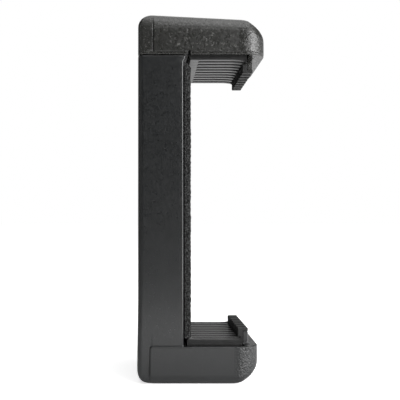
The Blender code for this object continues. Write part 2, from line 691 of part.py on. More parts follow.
def make_slider():
    """Flat tongue with a head in the jaw, a foot that meets the stops and spring channels."""
    low = point(SLIDER_BACK, -SLIDER_HALF, FOOT_BOTTOM)
    body = box(low, point(SLIDER_FRONT, SLIDER_HALF, HOUSING_TOP))
    slider = make_object("slider", body, (0.045, 0.045, 0.045), 0.42)
    join(slider, box(point(SLIDER_BACK, -FOOT_HALF, FOOT_BOTTOM), point(SLIDER_FRONT, FOOT_HALF, FOOT_TOP)))
    neck_low = point(HEAD_BACK, -SLIDER_HALF + EMBED, HOUSING_TOP - EMBED)
    join(slider, box(neck_low, point(SLIDER_FRONT, SLIDER_HALF - EMBED, UPPER_JAW_BOTTOM + EMBED)))
    head_low = point(HEAD_BACK, -HEAD_HALF, UPPER_JAW_BOTTOM)
    head_high = point(SLIDER_FRONT, HEAD_HALF, UPPER_JAW_BOTTOM + SLIDER_HEAD_HEIGHT)
    join(slider, box(head_low, head_high))
    channel_top = UPPER_PIN_Z + HOOK_RADIUS + SPRING_WIRE + RUNNING_GAP
    hole_length = SCREW_LENGTH + SEAT_GAP
    for side in (-1, 1):
        middle = side * SPRING_Y
        low = point(CHANNEL_BACK, middle - CHANNEL_HALF, FOOT_BOTTOM - CLEAR_CUT)
        cut(slider, box(low, point(SLIDER_FRONT + CLEAR_CUT, middle + CHANNEL_HALF, channel_top)))
        pin_hole = cylinder(PIN_HOLE_RADIUS, SLIDER_WEB + 2 * EMBED)
        cut(slider, pin_hole, along_depth(SLIDER_BACK - EMBED, middle, UPPER_PIN_Z))
        screw_hole = cylinder(SHANK_HOLE_RADIUS, hole_length)
        cut(slider, screw_hole, along_depth(SCREW_RECESS, side * JAW_SCREW_Y, JAW_SCREW_Z))
        pitch = (HOUSING_TOP - SLIDER_RIB - channel_top) / SLIDER_POCKET_ROWS
        for row in range(SLIDER_POCKET_ROWS):
            pocket_top = HOUSING_TOP - SLIDER_RIB - row * pitch
            low = point(CHANNEL_BACK, middle - CHANNEL_HALF, pocket_top - pitch + SLIDER_RIB)
            cut(slider, box(low, point(SLIDER_FRONT + CLEAR_CUT, middle + CHANNEL_HALF, pocket_top)))
    return slider


# Grip pads


def pad_face(lip_face, top, outward, rise):
    """Points of a pad's face from its flat part to the lip, where it curves up."""
    points = []
    for i in range(CURVE_STEPS + 1):
        angle = math.pi / 2 * i / CURVE_STEPS
        depth = lip_face - PAD_RISE_RUN * (1 - math.sin(angle))
        points.append((depth, top + outward * rise * (1 - math.cos(angle))))
    return points


def sleeve_profile(lip_face, inner, base, cap_base, cap_top):
    """Outline of the rubber sleeve that wraps over a lip, in depth and height."""
    back = inner - SEAT_GAP
    outer = inner + LIP_THICKNESS
    return [
        (lip_face, base), (back, base), (back, cap_base),
        (outer, cap_base), (outer, cap_top), (lip_face, cap_top),
    ]


def cut_grooves(pad, count, width, half, profile):
    """Cuts grooves with one outline, evenly spaced across a face of the pad."""
    ridge = (2 * half - count * width) / (count + 1)
    for i in range(count):
        middle = -half + ridge + width / 2 + i * (ridge + width)
        cut(pad, prism(profile, width / 2), Matrix.Translation((0, middle, 0)))


def make_grip_pad(name, start, border, inner, face, outward, recess, rise, lip_height):
    """Ribbed rubber pad that lies in a jaw's seat and wraps over its lip."""
    base = face - outward * (recess - SEAT_GAP)
    top = base + outward * PAD_THICKNESS
    lip_face = inner - SEAT_GAP - LIP_RUBBER
    cap_base = face + outward * (lip_height + SEAT_GAP)
    cap_top = cap_base + outward * LIP_CAP
    curve = pad_face(lip_face, top, outward, rise)
    plate_end = lip_face + EMBED
    plate = [(start, base), (plate_end, base), (plate_end, curve[-1][1])] + curve[::-1] + [(start, top)]
    pad = make_object(name, prism(plate, PAD_HALF), (0.07, 0.07, 0.068), 0.7)
    join(pad, prism(sleeve_profile(lip_face, inner, base, cap_base, cap_top), LIP_HALF))
    clear = cap_top + outward * EMBED
    groove_start = start + border
    groove = [(groove_start, clear), (groove_start, top - outward * GROOVE_DEPTH)]
    groove += [(depth, z - outward * GROOVE_DEPTH) for depth, z in curve[:-1]]
    groove.append((curve[-2][0], clear))
    cut_grooves(pad, GROOVE_COUNT, GROOVE_WIDTH, PAD_HALF, groove)
    cap_back = lip_face - EMBED
    cap_front = inner + LIP_THICKNESS + EMBED
    cap_floor = cap_top - outward * CAP_GROOVE_DEPTH
    cap_groove = [(cap_back, cap_floor), (cap_front, cap_floor), (cap_front, clear), (cap_back, clear)]
    cut_grooves(pad, CAP_GROOVE_COUNT, CAP_GROOVE_WIDTH, LIP_HALF, cap_groove)
    return pad


# Assembly


def hold(pieces, name, location):
    """Parents pieces to an empty without moving them."""
    carrier = bpy.data.objects.new(name, None)
    carrier.location = location
    bpy.context.collection.objects.link(carrier)
    for piece in pieces:
        piece.parent = carrier
        piece.location = piece.location - Vector(location)


def place_forwards(piece, depth, y, z):
    """Turns a turned piece's own axis forwards and puts its base at a point."""
    piece.rotation_euler = (0, math.pi / 2, 0)
    piece.location = point(depth, y, z)


def build():
    for old in list(bpy.data.objects):
        bpy.data.objects.remove(old)
    steel = ((0.42, 0.42, 0.43), 0.32, 1.0)
    head_depth = SCREW_RECESS - SEAT_GAP - SCREW_HEAD_HEIGHT

    fixed = [make_rear_housing(), make_front_cover(), make_thread_insert()]
    fixed.append(make_grip_pad(
        "lower_grip_pad", LOWER_PAD_START, LOWER_PAD_BORDER, LOWER_LIP_DEPTH,
        LOWER_JAW_HEIGHT, 1, LOWER_PAD_RECESS, LOWER_PAD_RISE, LOWER_LIP_HEIGHT,
    ))
    number = 0
    screw = screw_mesh()
    for z in POST_HEIGHTS:
        for side in (-1, 1):
            number += 1
            cover_screw = make_object(f"cover_screw_{number}", screw.copy(), *steel)
            place_forwards(cover_screw, head_depth, side * POST_Y, z)
            fixed.append(cover_screw)

    moving = [make_upper_jaw_shell(), make_slider()]
    moving.append(make_grip_pad(
        "upper_grip_pad", UPPER_PAD_START, UPPER_PAD_BORDER, UPPER_LIP_DEPTH,
        UPPER_JAW_BOTTOM, -1, UPPER_PAD_RECESS, UPPER_PAD_RISE, UPPER_LIP_HEIGHT,
    ))
    for side, hand in ((-1, "left"), (1, "right")):
        jaw_screw = make_object(f"jaw_screw_{hand}", screw.copy(), *steel)
        place_forwards(jaw_screw, head_depth, side * JAW_SCREW_Y, JAW_SCREW_Z)
        upper_base = SLIDER_BACK
        upper_pin = make_object(f"upper_spring_pin_{hand}", pin_mesh(PIN_TIP - upper_base), *steel)
        place_forwards(upper_pin, upper_base, side * SPRING_Y, UPPER_PIN_Z)
        moving += [jaw_screw, upper_pin]
        lower_base = BOSS_TOP - PIN_SEAT + SEAT_GAP
        lower_pin = make_object(f"lower_spring_pin_{hand}", pin_mesh(PIN_TIP - lower_base), *steel)
        place_forwards(lower_pin, lower_base, side * SPRING_Y, LOWER_PIN_Z)
        spring = make_object(f"{hand}_spring", spring_mesh(), *steel)
        spring.location = point(SPRING_DEPTH, side * SPRING_Y, LOWER_PIN_Z)
        fixed += [lower_pin, spring]

    hold(fixed, "clip_body", (0, 0, 0))
    hold(moving, "upper_jaw", SLIDE_ORIGIN)


build()
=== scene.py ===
"""Spring-loaded phone clip in a plain studio, seen flat from its side.

Metres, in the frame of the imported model: +X from the flat back to the tips of the jaws,
+Y across the clip, +Z up. Depths are measured forwards from the flat back.
"""

import math

import bmesh
import bpy
from mathutils import Matrix, Vector, noise


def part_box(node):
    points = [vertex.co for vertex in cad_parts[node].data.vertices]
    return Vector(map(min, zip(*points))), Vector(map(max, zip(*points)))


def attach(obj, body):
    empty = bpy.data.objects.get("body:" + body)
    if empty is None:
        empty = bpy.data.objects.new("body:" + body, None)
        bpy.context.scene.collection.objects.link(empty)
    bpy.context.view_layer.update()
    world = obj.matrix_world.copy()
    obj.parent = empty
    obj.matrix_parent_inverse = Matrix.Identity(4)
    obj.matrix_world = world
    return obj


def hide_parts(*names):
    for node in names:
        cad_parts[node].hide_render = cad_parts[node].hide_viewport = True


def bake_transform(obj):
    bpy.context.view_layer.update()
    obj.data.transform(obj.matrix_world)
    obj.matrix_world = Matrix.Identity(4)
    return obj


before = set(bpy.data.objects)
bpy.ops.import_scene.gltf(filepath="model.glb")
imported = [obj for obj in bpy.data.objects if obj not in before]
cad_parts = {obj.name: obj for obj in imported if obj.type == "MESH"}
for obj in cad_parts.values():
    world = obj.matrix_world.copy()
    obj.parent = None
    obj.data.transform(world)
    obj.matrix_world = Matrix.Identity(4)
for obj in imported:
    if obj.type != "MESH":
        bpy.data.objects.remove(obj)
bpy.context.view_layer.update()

MM = 0.001


def box_of(node):
    """Lowest and highest corner of a CAD node."""
    low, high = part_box(node)
    return Vector(low), Vector(high)


# Places taken from the frame
housing_low, housing_high = box_of("rear_housing")
jaw_high = box_of("upper_jaw_shell")[1]
cover_low, cover_high = box_of("front_cover")
slider_low, slider_high = box_of("slider")
insert_low, insert_high = box_of("thread_insert")
lower_pad_low, lower_pad_high = box_of("lower_grip_pad")
upper_pad_low, upper_pad_high = box_of("upper_grip_pad")
BACK_X = housing_low.x
PANEL_HALF = housing_high.y
HOUSING_TOP = housing_high.z
LOWER_REACH = housing_high.x - BACK_X
UPPER_REACH = jaw_high.x - BACK_X
UPPER_JAW_TOP = jaw_high.z
PAD_HALF = upper_pad_high.y

# Sizes of the outer form
LOWER_JAW_HEIGHT = 8.75 * MM
COLUMN_DEPTH = 10.6 * MM
SEAM = 0.25 * MM
TOP_SLOPE = math.radians(2.9)
BACK_CORNER_RADIUS = 1.2 * MM
TIP_CORNER_RADIUS = 4.5 * MM
LEAST_CORNER_RADIUS = 1.0 * MM
CORNER_MARGIN = 0.2 * MM
UPPER_BACK_FILLET = (2.9 * MM, 2.9 * MM)
UPPER_TIP_FILLET = (5.3 * MM, 5.5 * MM)
UPPER_SIDE_FILLET = (4.2 * MM, 1.3 * MM)
LOWER_BACK_FILLET = (3.4 * MM, 2.6 * MM)
LOWER_TIP_FILLET = (5.0 * MM, 6.5 * MM)
LOWER_SIDE_FILLET = (2.3 * MM, 2.3 * MM)
RIM_ROUND = 0.25 * MM
COLUMN_EDGE = 0.35 * MM
COLLAR_FLARE = 0.55 * MM
COLLAR_HEIGHT = 1.5 * MM
BACK_DRAFT = 0.2 * MM
DRAFT_HEIGHTS = (3 * MM, 22 * MM)

# Raised panels on the flanks
PANEL_RAISE = 0.3 * MM
PANEL_RAMP = 0.28 * MM
PANEL_CORNER = 0.5 * MM
PANEL_GROOVE = (0.38 * MM, 0.11 * MM)
UPPER_PANEL_START = 3.6 * MM
UPPER_PANEL_MARGIN = 0.5 * MM
LOWER_PANEL_START = 2.9 * MM

# Walls, seats and gaps
BACK_WALL = 1.8 * MM
SIDE_WALL = 1.6 * MM
UPPER_JAW_WALL = 2.45 * MM
COLLAR_THICKNESS = 1.95 * MM
CAVITY_FLOOR_RISE = 1.6 * MM
RUNNING_GAP = 0.35 * MM
EMBED = 0.4 * MM
CLEAR = 2.0 * MM
SHADOW_STEP = (0.7 * MM, 0.7 * SEAM)
UNDERCUT = (1.05 * MM, 0.85 * MM, 0.12 * MM)
UNDERCUT_GAP = 0.1 * MM
SLIDING_EDGES = (0.4 * MM, 0.25 * MM)

# Cover
COVER_PLUG = 1.85 * MM
COVER_RIM = 1.2 * MM
COVER_EDGE = 0.8 * MM
COVER_SIDE_GAP = 0.1 * MM
COVER_SQUARE = 0.2 * MM
COVER_TOP_CHAMFER = (0.95 * MM, 0.7 * MM)
POST_RADIUS = 1.8 * MM
POST_CHAMFER = 0.15 * MM
PLUG_EDGES = (0.3 * MM, 0.2 * MM)
LEATHER_PROUD = 0.12 * MM
LEATHER_DEPTH = 0.16 * MM
LEATHER_CELL = 0.85 * MM
LEATHER_BEND = (1.6 * MM, 0.35)
LEATHER_FADE = 0.3 * MM
LEATHER_ROWS = 250
LEATHER_COLUMNS = 104
GRAIN_SEED = 1

# Screws, pins and springs
HEAD_RADIUS = 1.65 * MM
HEAD_HEIGHT = 1.15 * MM
SHANK_RADIUS = 0.9 * MM
SCREW_LENGTH = 6.2 * MM
SCREW_RECESS = 1.75 * MM
SCREW_THREAD = (0.8 * MM, 0.2 * MM)
THREAD_START = 0.5 * MM
RECESS_CHAMFER = 0.2 * MM
DRIVE_TURN = 900
BOSS_HEIGHT = 1.6 * MM
PIN_RADIUS = 0.8 * MM
PIN_SEAT = 2.3 * MM
PIN_CHAMFER = 0.15 * MM
PIN_RISE = 2.5 * MM
SPRING_RADIUS = 2.1 * MM
SPRING_WIRE = 0.55 * MM
SPRING_LENGTH = 32.6 * MM
SPRING_TURNS = 16
TURN_STEPS = 24

# Threaded insert
INSERT_BORE = 3.2 * MM
INSERT_PITCH = 25.4 * MM / 20
INSERT_THREAD = 0.6 * MM
INSERT_LEAD = 0.4 * MM
INSERT_CHAMFER = 0.15 * MM
INSERT_WAIST = (0.8 * MM, 0.45 * MM)
SOCKET_CHAMFER = 0.3 * MM

# Slider
SLIDER_WEB = 1.5 * MM
SLIDER_STEP = 1.45 * MM
SLIDER_HEAD = 6.3 * MM
SLIDER_RIB = 1.3 * MM
SLIDER_POCKET_ROWS = 3
FOOT_HEIGHT = 3.5 * MM
STOP_HEIGHT = 48.1 * MM
STOP_RIB = 1.2 * MM
STOP_EDGES = (0.2 * MM, 0.15 * MM)

# Pads and lips
PAD_THICKNESS = 1.6 * MM
PAD_EDGE = 0.3 * MM
PAD_GROOVES = 9
GROOVE_PITCH = 2.603 * MM
PAD_GROOVE_WIDTH = 1.3 * MM
PAD_GROOVE_DEPTH = 0.6 * MM
GROOVE_WALL = 0.16
GROOVE_RAMP = 0.55 * MM
PAD_RISE_RUN = 3.2 * MM
LOWER_PAD_RISE = 0.2 * MM
UPPER_PAD_RISE = 0.42 * MM
PAD_FLANGE = (0.14 * MM, 0.72 * MM)
PAD_SLIT = 0.36 * MM
FLANGE_RIM = 0.06 * MM
HAIR = 0.001 * MM
PAD_END = 0.35 * MM
STATION_GAP = 0.02 * MM
LOWER_BORDER = 1.2 * MM
UPPER_BORDER = 2.1 * MM
SEAT_EXTRA = 0.6 * MM
SEAT_CORNER = 0.3 * MM
SEAT_CHAMFER = 0.08 * MM
LIP_HALF = PAD_HALF - 2.6 * MM
LIP_THICKNESS = 1.2 * MM
LIP_RUBBER = 0.65 * MM
LIP_CAP = 0.5 * MM
LIP_FOOT = 0.5 * MM
LIP_EDGES = (0.2 * MM, 0.3 * MM)
LIP_SIDE_EDGE = 0.18 * MM
LIP_LAP = 0.02 * MM
CAP_EDGES = (0.2 * MM, 0.12 * MM)
CAP_GROOVE = 0.25 * MM
SLEEVE_PROUD = 0.28 * MM
SLEEVE_SINK = 0.05 * MM
UPPER_LIP = (25.9 * MM, 2.7 * MM)
LOWER_LIP = (24.65 * MM, 2.85 * MM)

# Places worked out
BODY_HALF = PANEL_HALF - PANEL_RAISE
UPPER_JAW_BOTTOM = HOUSING_TOP + SEAM
CAVITY_HALF = PANEL_HALF - SIDE_WALL
CAVITY_FLOOR = LOWER_JAW_HEIGHT + CAVITY_FLOOR_RISE
CAVITY_TOP = HOUSING_TOP - COLLAR_THICKNESS
COVER_BACK = COLUMN_DEPTH + SEAM
COVER_FRONT = cover_high.x - BACK_X + LEATHER_PROUD
PLUG_BACK = COVER_BACK - COVER_PLUG
HOLE_RADIUS = SHANK_RADIUS + SEAM
RECESS_RADIUS = HEAD_RADIUS + SEAM
PIN_HOLE = PIN_RADIUS + SEAM
BOSS_TOP = BACK_WALL + BOSS_HEIGHT
BOSS_INNER = 7.525 * MM
POST_Y = 9.45 * MM
POST_HEIGHTS = (12.65 * MM, 69.05 * MM)
JAW_SCREW_Y = 7.6 * MM
JAW_SCREW_Z = UPPER_JAW_BOTTOM + 3.6 * MM
SLIDER_BACK = slider_low.x - BACK_X
SLIDER_FRONT = slider_high.x - BACK_X
SLIDER_HALF = BOSS_INNER - RUNNING_GAP
SLIDER_HEAD_BACK = SLIDER_BACK + SLIDER_STEP
SLIDER_HEAD_HALF = BODY_HALF - UPPER_JAW_WALL - SEAM
FOOT_BOTTOM = slider_low.z
FOOT_HALF = CAVITY_HALF - RUNNING_GAP
CHANNEL_BACK = SLIDER_BACK + SLIDER_WEB
CHANNEL_HALF = SPRING_RADIUS + RUNNING_GAP
SPRING_Y = SLIDER_HALF / 2
SPRING_DEPTH = CHANNEL_BACK + CHANNEL_HALF
LOWER_PIN_Z = CAVITY_FLOOR + PIN_RISE
UPPER_PIN_Z = LOWER_PIN_Z + SPRING_LENGTH
HOOK_RADIUS = PIN_RADIUS + SEAM + SPRING_WIRE / 2


def point(depth, y, z):
    """World position of a point given by its depth from the back."""
    return Vector((BACK_X + depth, y, z))


# Mesh building

SHARP = math.radians(38)


def finished_mesh(name, bm):
    """Turns a bmesh into a smooth-shaded mesh with outward faces."""
    bmesh.ops.recalc_face_normals(bm, faces=bm.faces)
    mesh = bpy.data.meshes.new(name)
    bm.to_mesh(mesh)
    bm.free()
    mesh.shade_smooth()
    mesh.set_sharp_from_angle(angle=SHARP)
    return mesh


def bridge(bm, lower, upper):
    """Joins two closed rings of vertices with a band of faces."""
    count = len(lower)
    for i in range(count):
        j = (i + 1) % count
        bm.faces.new((lower[i], lower[j], upper[j], upper[i]))


def new_ring(bm, points):
    return [bm.verts.new(co) for co in points]


def stack(bm, rings, ends=True):
    """Joins a pile of rings into one tube and closes its ends."""
    made = [new_ring(bm, ring) for ring in rings]
    for lower, upper in zip(made, made[1:]):
        bridge(bm, lower, upper)
    if ends:
        bm.faces.new(made[0])
        bm.faces.new(made[-1])
    return made


def piled(name, rings):
    """Solid made of a pile of rings."""
    bm = bmesh.new()
    stack(bm, rings)
    return finished_mesh(name, bm)


def ladder(bm, ring):
    """Closes a ring whose second half mirrors its first with rungs from side to side."""
    for i in range(len(ring) // 2 - 1):
        bm.faces.new((ring[i], ring[i + 1], ring[-2 - i], ring[-1 - i]))


def lathe(profile, segments, closed=False, wave=None):
    """Solid turned about Z from (radius, height) points.

    A wave shifts the radius by angle and height.
    """
    bm = bmesh.new()
    rings = []
    for radius, z in profile:
        ring = []
        for i in range(segments):
            angle = 2 * math.pi * i / segments
            reach = radius + (wave(radius, angle, z) if wave else 0)
            ring.append(Vector((reach * math.cos(angle), reach * math.sin(angle), z)))
        rings.append(ring)
    made = stack(bm, rings, ends=not closed)
    if closed:
        bridge(bm, made[-1], made[0])
    return finished_mesh("turned", bm)


def tube(path, radius, sides):
    """Round wire that follows a path of points."""
    rings = []
    across = None
    for i, here in enumerate(path):
        along = (path[min(i + 1, len(path) - 1)] - path[max(i - 1, 0)]).normalized()
        across = along.orthogonal() if across is None else across - along * across.dot(along)
        across.normalize()
        other = along.cross(across)
        angles = [2 * math.pi * k / sides for k in range(sides)]
        rings.append([here + (across * math.cos(a) + other * math.sin(a)) * radius for a in angles])
    return piled("wire", rings)


def spread(*stops):
    """Rising values: each (end, steps) pair after the first value adds evenly spaced ones."""
    values = [stops[0]]
    for end, steps in stops[1:]:
        start = values[-1]
        values += [start + (end - start) * (i + 1) / steps for i in range(steps)]
    return values


def quarter(steps):
    """Angles of a quarter turn, from 0 to 90 degrees."""
    return [math.pi / 2 * i / steps for i in range(steps + 1)]


def arc(radius, steps):
    """Quarter circle as pairs of distances, the first rising to the radius, the second falling."""
    return [(radius * (1 - math.cos(a)), radius * (1 - math.sin(a))) for a in quarter(steps)]


def smoothstep(value, low, high):
    t = min(max((value - low) / (high - low), 0), 1)
    return t * t * (3 - 2 * t)


# Pieces


def add_piece(name, mesh):
    mesh.name = name
    piece = bpy.data.objects.new(name, mesh)
    bpy.context.collection.objects.link(piece)
    return piece


def combine(target, tool_mesh, operation, place=None):
    """Cuts a tool mesh from a piece, or joins it on, and keeps the result as its mesh."""
    tool = bpy.data.objects.new("tool", tool_mesh)
    if place is not None:
        tool.matrix_world = place
    bpy.context.collection.objects.link(tool)
    modifier = target.modifiers.new(operation, "BOOLEAN")
    modifier.operation = operation
    modifier.solver = "EXACT"
    modifier.object = tool
    bpy.context.view_layer.update()
    graph = bpy.context.evaluated_depsgraph_get()
    result = bpy.data.meshes.new_from_object(target.evaluated_get(graph))
    target.modifiers.remove(modifier)
    result.set_sharp_from_angle(angle=SHARP)
    target.data = result
    bpy.data.objects.remove(tool)


def cut(target, tool_mesh, place=None):
    combine(target, tool_mesh, "DIFFERENCE", place)


def join(target, tool_mesh, place=None):
    combine(target, tool_mesh, "UNION", place)


def forwards(depth, y, z):
    """Placement that turns a part's own Z axis forwards and puts it at a point."""
    return Matrix.Translation(point(depth, y, z)) @ Matrix.Rotation(math.pi / 2, 4, "Y")


def dress(piece, material, body, slot, *nodes):
    """Gives a piece its finish, its body and the CAD nodes that it stands for."""
    piece.data.materials.clear()
    piece.data.materials.append(material)
    shading = piece.modifiers.new("normals", "WEIGHTED_NORMAL")
    shading.keep_sharp = True
    if nodes:
        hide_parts(*nodes)
    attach(piece, body)


# Outer form of the two jaws


def fillet_inset(distance, fillet):
    """How far an edge fillet draws a wall in, at a distance from the face that it meets."""
    rise, run = fillet
    if distance >= rise:
        return 0.0
    return run * (1 - math.sqrt(1 - (1 - max(distance, 0) / rise) ** 2))


def fillet_levels(rise, steps):
    """Distances from the face at which a fillet is cut into facets."""
    return [distance for distance, _ in arc(rise, steps)]


def panel_relief(depth, z, start, edge, side):
    """Offset of a flank: the raised panel, its rounded rim and the fine groove behind it.

    The panel lies in front of its start and, with side 1, above its edge, or below with -1.
    """
    along = depth - start - PANEL_CORNER
    up = (z - edge) * side - PANEL_CORNER
    if along < 0 and up < 0:
        inside = PANEL_CORNER - math.hypot(along, up)
    else:
        inside = PANEL_CORNER + min(along, up)
    if inside >= PANEL_RAMP:
        return PANEL_RAISE
    if inside >= 0:
        return PANEL_RAISE * math.sqrt(1 - (1 - inside / PANEL_RAMP) ** 2)
    width, drop = PANEL_GROOVE
    if inside <= -width:
        return 0.0
    if side > 0:
        drop *= smoothstep(up, -PANEL_CORNER, 0)
    else:
        drop *= 0.5 + 0.5 * smoothstep(up, 0, PANEL_CORNER)
    return -drop * math.sin(math.pi * -inside / width)


CORNER_STEPS = 10
RIM_STEPS = 4
LEAST_STEP = 0.002 * MM


def corner_radii(radius, *insets):
    """Radii of a corner along the clip and across it, less what each wall is drawn in."""
    return [max(radius - inset, LEAST_CORNER_RADIUS) for inset in insets]


def half_outline(z, reach, insets, flank, relief, rounding=0.0):
    """Near half of a jaw's outline at one height, from the back round to the tip."""
    back_inset, tip_inset, side_inset = (inset + rounding for inset in insets)
    half = BODY_HALF - side_inset
    back_radii = corner_radii(BACK_CORNER_RADIUS, back_inset, side_inset)
    tip_radii = corner_radii(TIP_CORNER_RADIUS, tip_inset, side_inset)
    tip_half = half + relief(reach, z)
    points = []
    for a in quarter(CORNER_STEPS):
        depth = back_inset + back_radii[0] * (1 - math.cos(a))
        points.append((depth, half - back_radii[1] * (1 - math.sin(a))))
    first = back_inset + back_radii[0]
    last = reach - tip_inset - tip_radii[0]
    for i, depth in enumerate(flank):
        low = first + LEAST_STEP * (i + 1)
        high = last - LEAST_STEP * (len(flank) - i)
        depth = min(max(depth, low), high)
        points.append((depth, half + relief(depth, z)))
    for a in quarter(CORNER_STEPS):
        depth = reach - tip_inset - tip_radii[0] * (1 - math.sin(a))
        points.append((depth, tip_half - tip_radii[1] * (1 - math.cos(a))))
    return points


def mirrored(half_points, z):
    """Whole ring from its near half: near side first, then the far side back to the start."""
    near = [point(depth, -y, z) for depth, y in half_points]
    far = [point(depth, y, z) for depth, y in reversed(half_points)]
    return near + far


def flank_stations(panel_start, reach):
    """Depths of a flank's columns of vertices, close together at the panel's rear edge."""
    width = PANEL_GROOVE[0]
    first = BACK_CORNER_RADIUS + CORNER_MARGIN
    stations = spread(
        max(first, panel_start - width), (panel_start, 6), (panel_start + PANEL_RAMP, 6),
        (panel_start + PANEL_CORNER + 0.1 * MM, 5), (COLUMN_DEPTH - COLUMN_EDGE, 4),
    )
    if stations[0] > first + CORNER_MARGIN:
        stations.insert(0, first)
    stations += [COLUMN_DEPTH - behind for _, behind in arc(COLUMN_EDGE, RIM_STEPS)[1:]]
    return stations + spread(COLUMN_DEPTH, (reach - TIP_CORNER_RADIUS - CORNER_MARGIN, 6))[1:]


def back_draft(z):
    """How far the back stands in above the foot, where it spreads a little."""
    return BACK_DRAFT * smoothstep(z, *DRAFT_HEIGHTS)


def draw_in_back(ring, amount):
    """Moves the back of a ring forwards, and the rest by less the further it lies in front."""
    for co in ring:
        co.x += amount * (1 - smoothstep(co.x - BACK_X, 0, COLUMN_DEPTH))


def make_lower_form():
    """Lower jaw with the column of the housing standing on its back part."""
    bm = bmesh.new()
    flank = flank_stations(LOWER_PANEL_START, LOWER_REACH)
    split = CORNER_STEPS + 1 + flank.index(COLUMN_DEPTH)

    def relief(depth, z):
        fade = smoothstep(z, 0.5 * MM, LOWER_SIDE_FILLET[0])
        inside = panel_relief(depth, z, LOWER_PANEL_START, LOWER_JAW_HEIGHT, -1)
        back = depth < LOWER_PANEL_START + PANEL_CORNER
        return inside * fade if back else inside

    levels = set(fillet_levels(LOWER_SIDE_FILLET[0], 8) + fillet_levels(LOWER_TIP_FILLET[0], 12))
    levels |= set(spread(LOWER_JAW_HEIGHT - PANEL_CORNER, (LOWER_JAW_HEIGHT - PANEL_RAMP, 5)))
    levels |= {LOWER_JAW_HEIGHT - drop for drop in fillet_levels(PANEL_RAMP, 5)}
    rings = []
    fillets = (LOWER_BACK_FILLET, LOWER_TIP_FILLET, LOWER_SIDE_FILLET)
    for z in sorted(levels):
        back_inset, tip_inset, side_inset = (fillet_inset(z, fillet) for fillet in fillets)
        rim = PANEL_RAISE - max(panel_relief(LOWER_REACH, z, 0, LOWER_JAW_HEIGHT, -1), 0)
        insets = (back_inset, tip_inset + rim, side_inset)
        ring = mirrored(half_outline(z, LOWER_REACH, insets, flank, relief), z)
        draw_in_back(ring, back_draft(z))
        rings.append(ring)
    made = stack(bm, rings, ends=False)
    ladder(bm, made[0])
    top = made[-1]
    size = len(top)
    ladder(bm, top[split:size - split])

    column = top[size - 1 - split:] + top[:split + 1]
    last = split + 1
    squared = LOWER_JAW_HEIGHT + PANEL_GROOVE[0]
    levels = spread(
        LOWER_JAW_HEIGHT, (squared, 6), (HOUSING_TOP - COLLAR_HEIGHT, 20),
        (HOUSING_TOP - RIM_ROUND, 5),
    )[1:]
    levels += [HOUSING_TOP - below for _, below in arc(RIM_ROUND, RIM_STEPS)[1:]]
    for z in levels:
        rim = fillet_inset(HOUSING_TOP - z, (RIM_ROUND, RIM_ROUND))
        flare = COLLAR_FLARE * smoothstep(z, HOUSING_TOP - COLLAR_HEIGHT, HOUSING_TOP - RIM_ROUND)
        corner = COLUMN_EDGE * smoothstep(z, LOWER_JAW_HEIGHT, squared)
        half = half_outline(z, LOWER_REACH, (0, 0, 0), flank, relief, rim)[:last]
        shaped = []
        for depth, y in half:
            edge = depth - (COLUMN_DEPTH - COLUMN_EDGE)
            if edge > 0:
                share = min(edge / COLUMN_EDGE, 1)
                y -= corner * (1 - math.sqrt(1 - share * share))
                depth += flare - rim
            elif depth > COLUMN_DEPTH / 2:
                share = smoothstep(depth, COLUMN_DEPTH / 2, COLUMN_DEPTH - COLUMN_EDGE)
                depth += (flare - rim) * share
            shaped.append((depth, y))
        ring = mirrored(shaped, z)
        draw_in_back(ring, back_draft(z))
        above = new_ring(bm, ring[last:] + ring[:last])
        bridge(bm, column, above)
        column = above
    ladder(bm, column)
    return finished_mesh("lower_form", bm)


def make_upper_form():
    """Upper jaw, with a flat underside and a top that slopes down to the tip."""
    bm = bmesh.new()
    flank = flank_stations(UPPER_PANEL_START, UPPER_REACH)
    panel_edge = UPPER_JAW_BOTTOM + UPPER_PANEL_MARGIN

    def relief(depth, z):
        fade = smoothstep(UPPER_JAW_TOP - z, 0.1 * MM, UPPER_SIDE_FILLET[0])
        return panel_relief(depth, z, UPPER_PANEL_START, panel_edge, 1) * fade

    top = set(fillet_levels(UPPER_SIDE_FILLET[0], 7) + fillet_levels(UPPER_TIP_FILLET[0], 12))
    levels = {UPPER_JAW_TOP - drop for drop in top}
    levels |= {UPPER_JAW_BOTTOM + rise for rise in fillet_levels(RIM_ROUND, RIM_STEPS)}
    levels |= set(spread(
        panel_edge - PANEL_GROOVE[0], (panel_edge, 5), (panel_edge + PANEL_RAMP, 5),
        (panel_edge + PANEL_CORNER, 5),
    ))
    height = UPPER_JAW_TOP - UPPER_JAW_BOTTOM
    fillets = (UPPER_BACK_FILLET, UPPER_TIP_FILLET, UPPER_SIDE_FILLET)
    rings = []
    for z in sorted(levels):
        insets = [fillet_inset(UPPER_JAW_TOP - z, fillet) for fillet in fillets]
        rim = fillet_inset(z - UPPER_JAW_BOTTOM, (RIM_ROUND, RIM_ROUND))
        ring = mirrored(half_outline(z, UPPER_REACH, insets, flank, relief, rim), z)
        for co in ring:
            share = (co.z - UPPER_JAW_BOTTOM) / height
            run = max(co.x - BACK_X - UPPER_BACK_FILLET[1], 0)
            co.z -= share * run * math.tan(TOP_SLOPE)
        draw_in_back(ring, BACK_DRAFT)
        rings.append(ring)
    made = stack(bm, rings, ends=False)
    ladder(bm, made[0])
    ladder(bm, made[-1])
    return finished_mesh("upper_form", bm)


# Finishes


